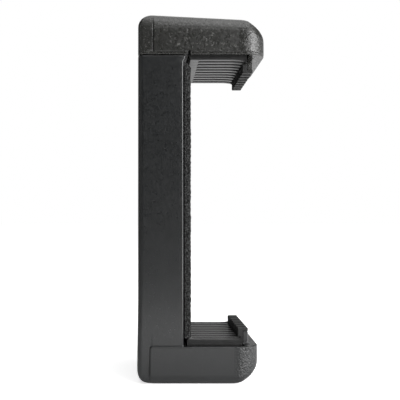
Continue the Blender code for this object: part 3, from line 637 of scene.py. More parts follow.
class Nodes:
    """Node tree with short ways to add its nodes."""

    def __init__(self, tree, coordinates="Object"):
        self.tree = tree
        self.place = tree.nodes.new("ShaderNodeTexCoord").outputs[coordinates]

    def feed(self, node, inputs):
        """Sets inputs of a node, each to a value or to another node's output."""
        for name, value in inputs.items():
            if isinstance(value, bpy.types.NodeSocket):
                self.tree.links.new(value, node.inputs[name])
            else:
                node.inputs[name].default_value = value
        return node

    def new(self, kind, inputs):
        return self.feed(self.tree.nodes.new(kind), inputs)

    def axis(self, name):
        """One coordinate of the place."""
        return self.new("ShaderNodeSeparateXYZ", {0: self.place}).outputs[name]

    def map(self, value, low, high, to_low, to_high, smooth=False):
        node = self.new("ShaderNodeMapRange", {
            "Value": value, "From Min": low, "From Max": high, "To Min": to_low, "To Max": to_high,
        })
        if smooth:
            node.interpolation_type = "SMOOTHSTEP"
        return node.outputs["Result"]

    def math(self, operation, *values):
        node = self.tree.nodes.new("ShaderNodeMath")
        node.operation = operation
        return self.feed(node, dict(enumerate(values))).outputs[0]


class Finish(Nodes):
    """Nodes of one material, around its Principled shader."""

    def __init__(self, name, color, roughness, metallic=0.0):
        self.material = bpy.data.materials.new(name)
        self.material.use_nodes = True
        super().__init__(self.material.node_tree)
        self.shader = self.tree.nodes["Principled BSDF"]
        self.normal = None
        self.feed(self.shader, {
            "Base Color": (*color, 1), "Roughness": roughness, "Metallic": metallic,
        })

    def noise(self, size, detail=2.0, roughness=0.5, stretch=(1, 1, 1)):
        """Cloudy values with features about a given size, in metres."""
        mapping = self.new("ShaderNodeMapping", {"Vector": self.place, "Scale": stretch})
        cloud = self.new("ShaderNodeTexNoise", {
            "Vector": mapping.outputs["Vector"], "Scale": 1 / size, "Detail": detail,
            "Roughness": roughness,
        })
        return cloud.outputs["Fac"]

    def facing_up(self):
        """How far the surface looks up, from -1 to 1."""
        surface = self.tree.nodes.new("ShaderNodeNewGeometry")
        parts = self.new("ShaderNodeSeparateXYZ", {0: surface.outputs["Normal"]})
        return parts.outputs["Z"]

    def tint(self, value, color, dark, light):
        """Gives the surface a colour between a dark and a light shade, by a value."""
        low, high = ((*(channel * shade for channel in color), 1) for shade in (dark, light))
        node = self.tree.nodes.new("ShaderNodeMix")
        node.data_type = "RGBA"
        self.feed(node, {0: value, 6: low, 7: high})
        self.feed(self.shader, {"Base Color": node.outputs[2]})

    def bump(self, height, distance):
        """Adds a relief of a given depth on top of those added before."""
        node = self.new("ShaderNodeBump", {"Height": height, "Distance": distance, "Strength": 1.0})
        if self.normal is not None:
            self.feed(node, {"Normal": self.normal})
        self.normal = node.outputs["Normal"]
        self.feed(self.shader, {"Normal": self.normal})

    def roughness(self, value):
        self.feed(self.shader, {"Roughness": value})


def moulded_plastic(name, color, roughness, grain, relief, painted_glints=0.0, tips=None, matt_top=0.0):
    """Moulded plastic with a spark-eroded grain, raised flecks lightened as painted glints or
    clouds of uneven tone, and worn tips.

    The tips are given as the depth where they start, the relief of their coarser grain, how
    much smoother they are, and two heights between which the polish fades in. Faces that look
    up can be more matt than the sides.
    """
    finish = Finish(name, color, roughness)
    finish.shader.inputs["Specular IOR Level"].default_value = 0.6
    fine = finish.noise(grain, 3, 0.6)
    height = fine
    if painted_glints:
        # Raised specks whose colour is lightened as painted glints; they also add real relief to
        # the bump.
        fleck_relief_and_glints = finish.map(finish.noise(0.55 * MM, 4, 0.55), 0.62, 0.67, 0, 1)
        finish.tint(finish.math("MULTIPLY", fleck_relief_and_glints, painted_glints), color, 1, 6)
        height = finish.math("ADD", fine, finish.math("MULTIPLY", fleck_relief_and_glints, 0.5))
    else:
        finish.tint(finish.map(finish.noise(6 * MM, 3), 0.3, 0.7, 0, 1), color, 0.88, 1.14)
    rough = finish.map(fine, 0.3, 0.7, roughness - 0.07, roughness + 0.07)
    if tips:
        start, tip_relief, polish, fade_from, fade_to = tips
        along = finish.map(finish.axis("X"), BACK_X + start, BACK_X + start + 1.4 * MM, 0, 1)
        fade = finish.map(finish.axis("Z"), fade_from, fade_to, 0, 1)
        share = finish.math("MULTIPLY", along, fade)
        coarse = finish.noise(0.45 * MM, 3, 0.6)
        finish.bump(finish.math("MULTIPLY", coarse, share), tip_relief)
        rough = finish.math("SUBTRACT", rough, finish.math("MULTIPLY", share, polish))
    if matt_top:
        rough = finish.math("ADD", rough, finish.map(finish.facing_up(), 0.7, 0.95, 0, matt_top))
    finish.roughness(rough)
    finish.bump(height, relief)
    finish.bump(finish.noise(grain / 3, 2), relief / 4)
    return finish.material


def plated_metal(name, color, roughness, grain, stretch=(1, 1, 1)):
    """Metal with fine working marks and a slightly uneven tone."""
    finish = Finish(name, color, roughness, 1.0)
    finish.tint(finish.map(finish.noise(1.5 * MM, 3), 0.3, 0.7, 0, 1), color, 0.8, 1.12)
    marks = finish.noise(grain, 4, 0.6, stretch)
    finish.roughness(finish.map(marks, 0.3, 0.7, roughness - 0.08, roughness + 0.12))
    finish.bump(marks, 0.01 * MM)
    return finish.material


def leather_plastic(name, color):
    """Plastic moulded from a leather skin: glossy pebbles with matt creases between them, the
    creases darkened by painted shade and the pebbles lightened by painted highlights.
    """
    finish = Finish(name, color, 0.5)
    finish.shader.inputs["Specular IOR Level"].default_value = 0.3
    pebbles = finish.noise(0.34 * MM, 3, 0.6)
    pores = finish.noise(0.16 * MM, 3, 0.65)
    # Painted shade darkens the creases and painted highlights lighten the tops of the pebbles.
    finish.tint(finish.map(pebbles, 0.49, 0.6, 0, 1), color, 0.1, 4.5)
    finish.roughness(finish.map(pebbles, 0.45, 0.6, 0.9, 0.3))
    finish.bump(pebbles, 0.5 * MM)
    finish.bump(pores, 0.04 * MM)
    return finish.material


def lip_face_of(lip):
    """World X of the rubber's inner face on a lip."""
    return BACK_X + lip[0] - SEAM - LIP_RUBBER


def ribbed_rubber(name, color, groove_start, lip_start):
    """Rubber whose ribs are polished by use, with dull grooves; painted shade darkens the colour of
    the grooves, the sides and the lip, and the ribs are painted a little lighter.
    """
    finish = Finish(name, color, 0.4)
    across_pad, along = finish.axis("Y"), finish.axis("X")
    from_groove = finish.math("PINGPONG", across_pad, GROOVE_PITCH / 2)
    from_middle = finish.math("ABSOLUTE", across_pad)
    on_rib = finish.map(from_groove, 0.52 * MM, 0.68 * MM, 0, 1)
    outside = finish.map(from_middle, 11.2 * MM, 11.4 * MM, 0, 1)
    behind = finish.map(along, groove_start, groove_start + 0.4 * MM, 1, 0)
    raised = finish.math("MAXIMUM", on_rib, finish.math("MAXIMUM", outside, behind))
    # Painted shade on the pad's sides and from just before the lip onwards, where they lie in
    # shadow.
    inner = finish.map(from_middle, PAD_HALF - 0.18 * MM, PAD_HALF - 0.06 * MM, 1, 0.12)
    before = finish.map(along, lip_start - 0.5 * MM, lip_start - 0.3 * MM, 1, 0.5)
    polish_and_painted_light = finish.math("MULTIPLY", raised, finish.math("MULTIPLY", inner, before))
    cloud = finish.map(finish.noise(2.5 * MM, 4, 0.6), 0.3, 0.7, -0.15, 0.15)
    # Painted light: the colour drops to a dark shade in the grooves, on the sides and at the lip,
    # and rises a little on the ribs.
    finish.tint(finish.math("ADD", polish_and_painted_light, cloud), color, 0.15, 1.3)
    dust = finish.map(finish.noise(0.12 * MM, 3, 0.6), 0.3, 0.7, -0.05, 0.05)
    finish.roughness(finish.math("ADD", finish.map(polish_and_painted_light, 0, 1, 0.9, 0.34), dust))
    finish.bump(dust, 0.1 * MM)
    return finish.material


# Pieces of the fixed body


def round_corners(corners, steps=4):
    """Outline with rounded corners, from (depth, height, radius) points."""
    points = []
    for i, (depth, z, radius) in enumerate(corners):
        here = Vector((depth, z))
        if not radius:
            points.append((depth, z))
            continue
        before = (Vector(corners[i - 1][:2]) - here).normalized()
        after = (Vector(corners[(i + 1) % len(corners)][:2]) - here).normalized()
        half_angle = before.angle(after) / 2
        middle = here + (before + after).normalized() * radius / math.sin(half_angle)
        start = here + before * radius / math.tan(half_angle) - middle
        end = here + after * radius / math.tan(half_angle) - middle
        turn = start.angle(end)
        for k in range(steps + 1):
            share = k / steps
            spoke = start * math.sin((1 - share) * turn) + end * math.sin(share * turn)
            points.append(tuple(middle + spoke / math.sin(turn)))
    return points


def shrunk(outline, amount):
    """Outline drawn in by an amount on every side."""
    area = sum(a[0] * b[1] - b[0] * a[1] for a, b in zip(outline, outline[1:] + outline[:1]))
    side = math.copysign(amount, area)
    moved = []
    for i, here in enumerate(outline):
        before = Vector(here) - Vector(outline[i - 1])
        after = Vector(outline[(i + 1) % len(outline)]) - Vector(here)
        normals = [Vector((-d.y, d.x)).normalized() for d in (before, after)]
        miter = (normals[0] + normals[1]) / (1 + normals[0].dot(normals[1]))
        moved.append(tuple(Vector(here) + miter * side))
    return moved


def rounded_prism(outline, half_width, rounding=0.0, middle=0.0, steps=3):
    """Solid with a (depth, height) outline across the clip, with rounded ends."""
    ends = arc(rounding, steps) if rounding else [(0, 0)]
    courses = [(run - half_width, inset) for run, inset in ends]
    courses += [(half_width - run, inset) for run, inset in reversed(ends)]
    rings = []
    for y, inset in courses:
        shape = shrunk(outline, inset) if inset else outline
        rings.append([point(depth, middle + y, z) for depth, z in shape])
    return piled("prism", rings)


def block(depths, half_width, heights, radius=0.0, rounding=0.0, middle=0.0):
    """Block between two depths and two heights, with rounded edges if asked."""
    (back, front), (low, high) = depths, heights
    corners = [(back, low), (front, low), (front, high), (back, high)]
    outline = round_corners([(*corner, radius) for corner in corners])
    return rounded_prism(outline, half_width, rounding, middle)


def seat_cutter(depths, half_width, floor, face, outward, chamfer):
    """Cutter for a pad's seat, with rounded corners and a mouth that opens a little."""
    rings = []
    mouth = face - outward * chamfer
    above = face + outward * CLEAR
    for height, grow in ((floor, 0), (mouth, 0), (above, CLEAR + chamfer)):
        low, high = depths[0] - min(grow, chamfer), depths[1]
        half = half_width + grow
        corners = [(low, -half, SEAT_CORNER), (high, -half, 0)]
        corners += [(high, half, 0), (low, half, SEAT_CORNER)]
        rings.append([point(depth, y, height) for depth, y in round_corners(corners)])
    return piled("seat", rings)


def rod(radius, length, segments=48):
    return lathe([(radius, 0), (radius, length)], segments)


def counterbore(radius, depth, chamfer):
    """Cutter along Z for a recess that starts at zero, with a chamfered mouth."""
    mouth = radius + chamfer + CLEAR
    return lathe([(mouth, -CLEAR), (radius, chamfer), (radius, depth)], 64)


def cut_screw_hole(piece, back, y, z, length):
    """Cuts a recess for a screw's head into a back face, and the hole for its shank."""
    recess = counterbore(RECESS_RADIUS, SCREW_RECESS - back, RECESS_CHAMFER)
    cut(piece, recess, forwards(back, y, z))
    cut(piece, rod(HOLE_RADIUS, length), forwards(EMBED, y, z))


def lip_outline(inner, face, outward, height):
    """Outline of a jaw's hard lip, with rounded edges and a hollow foot on its outer side."""
    outer = inner + LIP_THICKNESS
    root = face - outward * 2 * EMBED
    end = face + outward * height
    foot = [(outer + run, face + outward * rise) for run, rise in arc(LIP_FOOT, 5)]
    head = round_corners(
        [(inner, root, 0), (inner, end, LIP_EDGES[0]), (outer, end, LIP_EDGES[1]), (outer, root, 0)]
    )
    return head[:-1] + foot + [(outer + LIP_FOOT, root)]


def seat_pad_and_lip(jaw, pad_low, pad_high, lip, face, outward):
    """Sinks the pad's seat into a jaw's gripping face and raises the lip at its end."""
    inner, height = lip
    base = pad_low.z if outward > 0 else pad_high.z
    depths = (pad_low.x - BACK_X - SEAM, inner + LIP_LAP)
    floor = base - outward * SEAM
    cut(jaw, seat_cutter(depths, PAD_HALF + SEAT_EXTRA, floor, face, outward, SEAT_CHAMFER))
    join(jaw, rounded_prism(lip_outline(inner, face, outward, height), LIP_HALF, LIP_SIDE_EDGE))


def make_housing():
    """Housing moulded in one with the lower jaw, its lip, the screw bosses and the stops."""
    housing = add_piece("housing_shell", make_lower_form())
    seat_pad_and_lip(housing, lower_pad_low, lower_pad_high, LOWER_LIP, LOWER_JAW_HEIGHT, 1)
    front = COLUMN_DEPTH + CLEAR
    cut(housing, block((BACK_WALL, front), CAVITY_HALF, (CAVITY_FLOOR, CAVITY_TOP)))
    slot_half = SLIDER_HALF + RUNNING_GAP
    cut(housing, block((BACK_WALL, front), slot_half, (CAVITY_TOP - CLEAR, HOUSING_TOP + CLEAR)))
    socket_radius = insert_high.y + SEAM
    cut(housing, counterbore(socket_radius, insert_high.z + SEAM, SOCKET_CHAMFER))
    for side in (-1, 1):
        boss_middle = side * (BOSS_INNER + CAVITY_HALF + EMBED) / 2
        boss_half = (CAVITY_HALF + EMBED - BOSS_INNER) / 2
        for z in POST_HEIGHTS:
            heights = (z - POST_RADIUS, z + POST_RADIUS)
            boss = block((BACK_WALL - EMBED, BOSS_TOP), boss_half, heights, middle=boss_middle)
            join(housing, boss)
            cut_screw_hole(housing, back_draft(z) / 2, side * POST_Y, z, BOSS_TOP)
        rib_middle = side * (BOSS_INNER + STOP_RIB / 2)
        rib_heights = (STOP_HEIGHT, POST_HEIGHTS[1] - POST_RADIUS - SEAM)
        rib_depths = (BACK_WALL - EMBED, SLIDER_FRONT)
        join(housing, block(rib_depths, STOP_RIB / 2, rib_heights, *STOP_EDGES, rib_middle))
        pin_place = forwards(BACK_WALL - EMBED, side * SPRING_Y, LOWER_PIN_Z)
        join(housing, rod(PIN_HOLE + STOP_RIB, BOSS_HEIGHT + EMBED), pin_place)
        pin_hole = forwards(BOSS_TOP - PIN_SEAT, side * SPRING_Y, LOWER_PIN_Z)
        cut(housing, rod(PIN_HOLE, PIN_SEAT + CLEAR), pin_hole)
    return housing


def leather(place):
    """Height of a leather grain at a point, from 0 in the creases to about 1 on the pebbles."""
    reach, strength = LEATHER_BEND
    bend = noise.noise_vector(place / reach) * strength
    distances, cells = noise.voronoi(place / LEATHER_CELL + bend)
    crease = smoothstep(distances[1] - distances[0], 0.0, 0.38)
    return crease * (0.75 + 0.25 * noise.cell(cells[0] * 7.3))


def make_cover_plate():
    """Cover plate whose front and edges carry a coarse leather grain in relief."""
    noise.seed_set(GRAIN_SEED)
    half = BODY_HALF - COVER_SIDE_GAP
    bottom, top = cover_low.z, cover_high.z
    edge = COVER_EDGE
    rise = edge / 2
    chamfer_rise, chamfer_run = COVER_TOP_CHAMFER
    levels = [bottom + up for up in fillet_levels(rise, 4)]
    levels += spread(levels[-1], (top - chamfer_rise, LEATHER_ROWS), (top, 5))[1:]
    rings = []
    for z in levels:
        low_inset = fillet_inset(z - bottom, (rise, rise))
        high_inset = chamfer_run * max(0, (z - top + chamfer_rise) / chamfer_rise)
        front = COVER_FRONT - low_inset - high_inset
        near = [(COVER_BACK, -half), (COVER_BACK + COVER_SQUARE, -half)]
        near += [(front - behind, -half + aside) for aside, behind in arc(edge, 6)]
        flat = spread(-half + edge, (half - edge, LEATHER_COLUMNS))[1:-1]
        outline = near + [(front, y) for y in flat] + [(depth, -y) for depth, y in reversed(near)]
        ring = []
        for depth, y in outline:
            place = point(max(depth, COVER_BACK), y, z)
            aside = math.copysign(max(abs(y) - half + edge, 0), y)
            out = Vector((max(depth - front + edge, 0), aside, 0))
            if out.length > 0 and depth > COVER_BACK:
                fade = smoothstep(depth, COVER_BACK, COVER_BACK + edge)
                fade *= smoothstep(z, bottom, bottom + rise) * smoothstep(top - z, 0, LEATHER_FADE)
                place -= out.normalized() * LEATHER_DEPTH * (1 - leather(place)) * fade
            ring.append(place)
        rings.append(ring)
    return add_piece("cover_plate", piled("cover_plate", rings))


def make_cover_frame():
    """Rim that plugs the cover into the housing, with its four screw posts."""
    plug_half = CAVITY_HALF - SEAM
    low, high = cover_low.z, CAVITY_TOP - SEAM
    plug = block((PLUG_BACK, COVER_BACK + EMBED), plug_half, (low, high), *PLUG_EDGES)
    piece = add_piece("cover_frame", plug)
    inside = (low + COVER_RIM, high - COVER_RIM)
    cut(piece, block((PLUG_BACK - CLEAR, COVER_BACK), plug_half - COVER_RIM, inside))
    post_back = BOSS_TOP + SEAM
    post_length = COVER_BACK + EMBED / 2 - post_back
    hole_length = SCREW_RECESS + SCREW_LENGTH + SEAM - post_back
    for side in (-1, 1):
        for z in POST_HEIGHTS:
            place = forwards(post_back, side * POST_Y, z)
            join(piece, rod(POST_RADIUS, post_length), place)
            cut(piece, counterbore(HOLE_RADIUS, hole_length, POST_CHAMFER), place)
    return piece


# Pieces of the sliding jaw


def make_jaw():
    """Upper jaw moulding with its lip, its undercut and the pocket for the slider's head.

    A low step under it closes the seam above the housing.
    """
    jaw = add_piece("jaw_shell", make_upper_form())
    seat_pad_and_lip(jaw, upper_pad_low, upper_pad_high, UPPER_LIP, UPPER_JAW_BOTTOM, -1)
    width, height, radius = UNDERCUT
    undercut = COLUMN_DEPTH + COLLAR_FLARE + UNDERCUT_GAP
    heights = (UPPER_JAW_BOTTOM - CLEAR, UPPER_JAW_BOTTOM + height)
    cut(jaw, block((undercut, undercut + width), PANEL_HALF + CLEAR, heights, radius))
    inset, drop = SHADOW_STEP
    step = (UPPER_JAW_BOTTOM - drop, UPPER_JAW_BOTTOM + EMBED)
    join(jaw, block((inset, COLUMN_DEPTH - inset), BODY_HALF - inset, step))
    pocket = (UPPER_JAW_BOTTOM - CLEAR, UPPER_JAW_BOTTOM + SLIDER_HEAD + SEAM)
    depths = (SLIDER_HEAD_BACK - SEAM, SLIDER_FRONT + SEAM)
    cut(jaw, block(depths, SLIDER_HEAD_HALF + SEAM, pocket))
    for side in (-1, 1):
        cut_screw_hole(jaw, BACK_DRAFT, side * JAW_SCREW_Y, JAW_SCREW_Z, SLIDER_HEAD_BACK)
    return jaw


def make_slider():
    """Flat tongue with a head in the jaw, a foot that meets the stops and spring channels."""
    depths = (SLIDER_BACK, SLIDER_FRONT)
    tongue = block(depths, SLIDER_HALF, (FOOT_BOTTOM, HOUSING_TOP), *SLIDING_EDGES)
    slider = add_piece("slide_tongue", tongue)
    foot = (FOOT_BOTTOM, FOOT_BOTTOM + FOOT_HEIGHT)
    join(slider, block(depths, FOOT_HALF, foot, *SLIDING_EDGES))
    head_depths = (SLIDER_HEAD_BACK, SLIDER_FRONT)
    neck = (HOUSING_TOP - CLEAR / 2, UPPER_JAW_BOTTOM + CLEAR / 2)
    join(slider, block(head_depths, SLIDER_HALF - EMBED, neck))
    head = (UPPER_JAW_BOTTOM, UPPER_JAW_BOTTOM + SLIDER_HEAD)
    join(slider, block(head_depths, SLIDER_HEAD_HALF, head, *SLIDING_EDGES))
    channel_top = UPPER_PIN_Z + HOOK_RADIUS + SPRING_WIRE + RUNNING_GAP
    channel_depths = (CHANNEL_BACK, SLIDER_FRONT + CLEAR)
    pitch = (HOUSING_TOP - SLIDER_RIB - channel_top) / SLIDER_POCKET_ROWS
    for side in (-1, 1):
        middle = side * SPRING_Y
        spans = [(FOOT_BOTTOM - CLEAR, channel_top)]
        for row in range(SLIDER_POCKET_ROWS):
            pocket_top = HOUSING_TOP - SLIDER_RIB - row * pitch
            spans.append((pocket_top - pitch + SLIDER_RIB, pocket_top))
        for heights in spans:
            cut(slider, block(channel_depths, CHANNEL_HALF, heights, *SLIDING_EDGES, middle))
        pin_place = forwards(SLIDER_BACK - EMBED, middle, UPPER_PIN_Z)
        cut(slider, rod(PIN_HOLE, SLIDER_WEB + 2 * EMBED), pin_place)
        screw_place = forwards(SCREW_RECESS, side * JAW_SCREW_Y, JAW_SCREW_Z)
        cut(slider, rod(HOLE_RADIUS, SCREW_LENGTH + SEAM), screw_place)
    return slider


# Hardware


def cross_cutter():
    """Tapering cross that makes the drive of a screw, along Z from just above zero."""
    rings = []
    for z, arm, half in ((-0.1, 1.0, 0.25), (0.5, 0.72, 0.19), (0.85, 0.2, 0.12)):
        ring = []
        for quarter_turn in range(4):
            turn = Matrix.Rotation(quarter_turn * math.pi / 2, 3, "Z")
            for x, y in ((half, -half), (arm, -half), (arm, half)):
                ring.append(turn @ Vector((x, y, z)) * MM)
        rings.append(ring)
    return piled("cross", rings)


def helix(pitch, depth, start, end, core):
    """Radius shift of a thread: sharp ridges wound round a core between two heights."""

    def wave(radius, angle, z):
        if not start <= z <= end or radius != core:
            return 0.0
        fade = smoothstep(z, start, start + pitch) * smoothstep(end - z, 0, pitch)
        turn = (z / pitch - angle / (2 * math.pi)) % 1
        return depth * fade * (1 - abs(2 * turn - 1))

    return wave


def back_end_of(node):
    """Placement of a part along the clip, at the back end of a CAD node."""
    low, high = box_of(node)
    middle = (low + high) / 2
    return forwards(low.x - BACK_X, middle.y, middle.z)


def make_screw(name, node):
    """Pan-head screw with a cross drive and a coarse thread, in the place of a CAD node."""
    place = back_end_of(node)
    pitch, ridge = SCREW_THREAD
    core = SHANK_RADIUS - ridge
    tip = SCREW_LENGTH - SHANK_RADIUS
    profile = [
        (HEAD_RADIUS * math.sin(a), 0.5 * HEAD_HEIGHT * (1 - math.cos(a))) for a in quarter(8)[1:]
    ]
    profile.append((HEAD_RADIUS, HEAD_HEIGHT))
    profile += [(core, level) for level in spread(HEAD_HEIGHT, (tip, 44))]
    profile.append((core * 0.35, SCREW_LENGTH))
    mesh = lathe(profile, 32, wave=helix(pitch, ridge, HEAD_HEIGHT + THREAD_START, tip, core))
    mesh.transform(place)
    screw = add_piece(name, mesh)
    turn = Matrix.Rotation(0.4 + place.translation.z * DRIVE_TURN, 4, "Z")
    cut(screw, cross_cutter(), place @ turn)
    return screw


def make_insert():
    """Brass insert with a quarter-inch thread, a lead-in and a groove round its outside."""
    low, high, outer = insert_low.z, insert_high.z, insert_high.y
    rise, drop = INSERT_WAIST
    middle = (low + high) / 2
    chamfer = INSERT_CHAMFER
    profile = [
        (outer - chamfer, low), (outer, low + chamfer), (outer, middle - rise),
        (outer - drop, middle - rise), (outer - drop, middle + rise), (outer, middle + rise),
        (outer, high - chamfer), (outer - chamfer, high),
    ]
    profile += [(INSERT_BORE, z) for z in spread(high, (low + INSERT_LEAD, 62))]
    profile.append((INSERT_BORE + INSERT_LEAD, low))
    wave = helix(INSERT_PITCH, -INSERT_THREAD, low + INSERT_LEAD, high, INSERT_BORE)
    return add_piece("socket_thread", lathe(profile, 96, closed=True, wave=wave))


def spring_path(y):
    """Path of a tension spring's wire, hooked over its lower and its upper pin."""

    def hook(i, start, height):
        angle = math.radians(start + 240 * i / TURN_STEPS)
        return 0, HOOK_RADIUS * math.cos(angle), height + HOOK_RADIUS * math.sin(angle)

    points = [hook(i, -150, 0) for i in range(TURN_STEPS)]
    coil = SPRING_RADIUS - SPRING_WIRE / 2
    height = SPRING_LENGTH - 2 * HOOK_RADIUS
    steps = SPRING_TURNS * TURN_STEPS
    for i in range(steps + 1):
        angle = -math.pi / 2 + 2 * math.pi * i / TURN_STEPS
        grow = min(1, i / TURN_STEPS, (steps - i) / TURN_STEPS)
        radius = coil * grow * (2 - grow)
        up = HOOK_RADIUS + height * i / steps
        points.append((radius * math.cos(angle), radius * math.sin(angle), up))
    points += [hook(i, -90, SPRING_LENGTH) for i in range(1, TURN_STEPS + 1)]
    return [point(SPRING_DEPTH + x, y + across, LOWER_PIN_Z + up) for x, across, up in points]


def make_pin(name, node):
    """Ground steel pin with chamfered ends, in the place of a CAD node."""
    low, high = box_of(node)
    radius = (high.z - low.z) / 2
    length = high.x - low.x
    tip = radius - PIN_CHAMFER
    profile = [(tip, 0), (radius, PIN_CHAMFER), (radius, length - PIN_CHAMFER), (tip, length)]
    mesh = lathe(profile, 40)
    mesh.transform(back_end_of(node))
    return add_piece(name, mesh)


def make_spring(name, node):
    low, high = box_of(node)
    return add_piece(name, tube(spring_path((low.y + high.y) / 2), SPRING_WIRE / 2, 10))


# Grip pads


def grooves_at(y):
    """Share of the full groove depth at a place across a pad, 0 on the ribs."""
    most = PAD_GROOVES // 2
    nearest = max(-most, min(most, round(y / GROOVE_PITCH)))
    inside = 1 - abs(y - nearest * GROOVE_PITCH) / (PAD_GROOVE_WIDTH / 2)
    return smoothstep(inside, 0, 2 * GROOVE_WALL)


def rib_stations():
    """Stations across a pad that follow the walls of its grooves."""
    half = PAD_GROOVE_WIDTH / 2
    wall = [half * (1 - 2 * GROOVE_WALL * share) for share in (0, 0.2, 0.4, 0.6, 0.8, 1)]
    most = PAD_GROOVES // 2
    return [
        middle * GROOVE_PITCH + side * place
        for middle in range(-most, most + 1) for side in (-1, 1) for place in wall
    ]


def pad_rise(lip_face, top, outward, rise, steps=14):
    """Points and outward directions of a pad's face where it curves up to the lip."""
    points = []
    for a in quarter(steps):
        depth = lip_face - PAD_RISE_RUN * (1 - math.sin(a))
        z = top + outward * rise * (1 - math.cos(a))
        slope = Vector((-rise * math.sin(a), outward * PAD_RISE_RUN * math.cos(a)))
        points.append((depth, z, slope.normalized() if slope.length else Vector((0, outward))))
    return points


def across(half, rounding):
    """Stations across a pad: its rounded sides and the walls of the grooves between them."""
    near = [inwards - half for inwards in fillet_levels(rounding, 4)]
    inner = sorted(y for y in rib_stations() if abs(y) < half - rounding - STATION_GAP)
    return near + inner + [-y for y in reversed(near)]


def make_pad(name, low, high, lip, face, outward, border, rise):
    """Ribbed rubber pad that lies in a jaw's seat, curves up to the lip and wraps over it."""
    inner, lip_height = lip
    base = low.z if outward > 0 else high.z
    top = base + outward * PAD_THICKNESS
    start = low.x - BACK_X
    lip_face = inner - SEAM - LIP_RUBBER
    groove_start = start + border
    curve = pad_rise(lip_face, top, outward, rise)
    stops = [groove_start + GROOVE_RAMP * share for share in (0, 0.25, 0.5, 0.75, 1)]
    flat = [start + ahead for ahead in fillet_levels(PAD_EDGE, 4)] + stops
    flat += spread(stops[-1], (curve[0][0], 6))[1:-1]
    face_points = [(depth, top, Vector((0, outward))) for depth in flat] + curve
    flange_out, flange_height = PAD_FLANGE
    flange_top = base + outward * flange_height
    flange_bottom = base + outward * PAD_SLIT
    end = lip_face + PAD_END

    def slice_at(y, inset, limit=None, bottom=base):
        """Ring round the pad at one place across it. A limit levels its face at one height."""
        ring = [point(start, y, bottom), point(end, y, bottom)]
        ring.append(point(end, y, limit if limit is not None else curve[-1][1] - outward * inset))
        for depth, z, normal in reversed(face_points):
            sink = max(inset, fillet_inset(depth - start, (PAD_EDGE, PAD_EDGE)))
            mask = smoothstep(depth, groove_start, groove_start + GROOVE_RAMP)
            sink += PAD_GROOVE_DEPTH * grooves_at(y) * mask
            place = Vector((depth, z)) - normal * sink
            if limit is not None:
                place.y = limit
            ring.append(point(place.x, y, place.y))
        return ring

    side = -PAD_HALF - flange_out
    rim = outward * FLANGE_RIM
    rings = [
        slice_at(side, 0, flange_top - rim, flange_bottom + rim),
        slice_at(side + FLANGE_RIM, 0, flange_top, flange_bottom),
        slice_at(-PAD_HALF - 2 * HAIR, 0, flange_top, flange_bottom),
        slice_at(-PAD_HALF - HAIR, 0, flange_top),
    ]
    far_side = [[Vector((co.x, -co.y, co.z)) for co in ring] for ring in reversed(rings)]
    for y in across(PAD_HALF, PAD_EDGE):
        rings.append(slice_at(y, fillet_inset(PAD_HALF - abs(y), (PAD_EDGE, PAD_EDGE))))
    pad = add_piece(name, piled(name, rings + far_side))

    foot = base - outward * SLEEVE_SINK
    cap_base = face + outward * (lip_height + LIP_LAP)
    cap_top = face + outward * (lip_height + SEAM + LIP_CAP)
    inside, back, outer = lip_face - SLEEVE_PROUD, inner - LIP_LAP, inner + LIP_THICKNESS
    inner_edge, outer_edge = CAP_EDGES
    rings = []
    for y in across(LIP_HALF, outer_edge):
        inset = fillet_inset(LIP_HALF - abs(y), (outer_edge, outer_edge))
        cap = cap_top - outward * CAP_GROOVE * grooves_at(y)
        outline = round_corners([
            (inside, foot, 0), (back, foot, 0), (back, cap_base, 0), (outer, cap_base, 0),
            (outer, cap, outer_edge), (inside, cap, inner_edge),
        ])
        shape = shrunk(outline, inset) if inset else outline
        rings.append([point(depth, y, z) for depth, z in shape])
    join(pad, piled("sleeve", rings))
    return pad


# Camera, lights and floor

CAMERA_PLACE = Vector((-11.45, -154.0, 37.55)) * MM
CAMERA_PITCH = math.radians(0.95)
CAMERA_LENS = 55.3
CAMERA_SHIFT = (0.12, 0.025)


def make_camera():
    """Camera at the photograph's viewing angle, level with the middle of the clip."""
    data = bpy.data.cameras.new("camera")
    data.lens = CAMERA_LENS
    data.sensor_width = 36
    data.shift_x, data.shift_y = CAMERA_SHIFT
    data.clip_start = 0.01
    data.clip_end = 20
    camera = bpy.data.objects.new("camera", data)
    camera.location = CAMERA_PLACE
    camera.rotation_euler = (math.pi / 2 + CAMERA_PITCH, 0, 0)
    bpy.context.collection.objects.link(camera)
    bpy.context.scene.camera = camera


def area_light(name, place, target, size, power, spread_angle=180):
    """Soft rectangular lamp that faces a point."""
    data = bpy.data.lights.new(name, "AREA")
    data.shape = "RECTANGLE"
    data.size, data.size_y = size
    data.energy = power
    data.spread = math.radians(spread_angle)
    lamp = bpy.data.objects.new(name, data)
    lamp.visible_camera = False
    lamp.location = Vector(place) * MM
    aim = Vector(target) * MM - lamp.location
    lamp.rotation_euler = aim.to_track_quat("-Z", "Y").to_euler()
    bpy.context.collection.objects.link(lamp)


def make_lights():
    area_light("key", (250, -240, 330), (5, 0, 45), (0.4, 0.4), 0.4)
    area_light("front_top", (20, -190, 400), (0, 0, 80), (0.4, 0.12), 0.5)
    area_light("overhead", (40, 60, 420), (0, 0, 40), (0.36, 0.36), 0.8)
    area_light("tips", (248, -240, 170), (18, -10, 60), (0.24, 0.15), 1.15)
    area_light("side", (250, -60, 40), (10, 0, 45), (0.1, 0.2), 0.3)
    area_light("low_front", (-10, -58, 2), (-10, -14, -10), (0.1, 0.02), 0.003, 90)
    area_light("low_tips", (150, -110, 12), (12, -10, 4), (0.1, 0.015), 0.03, 90)


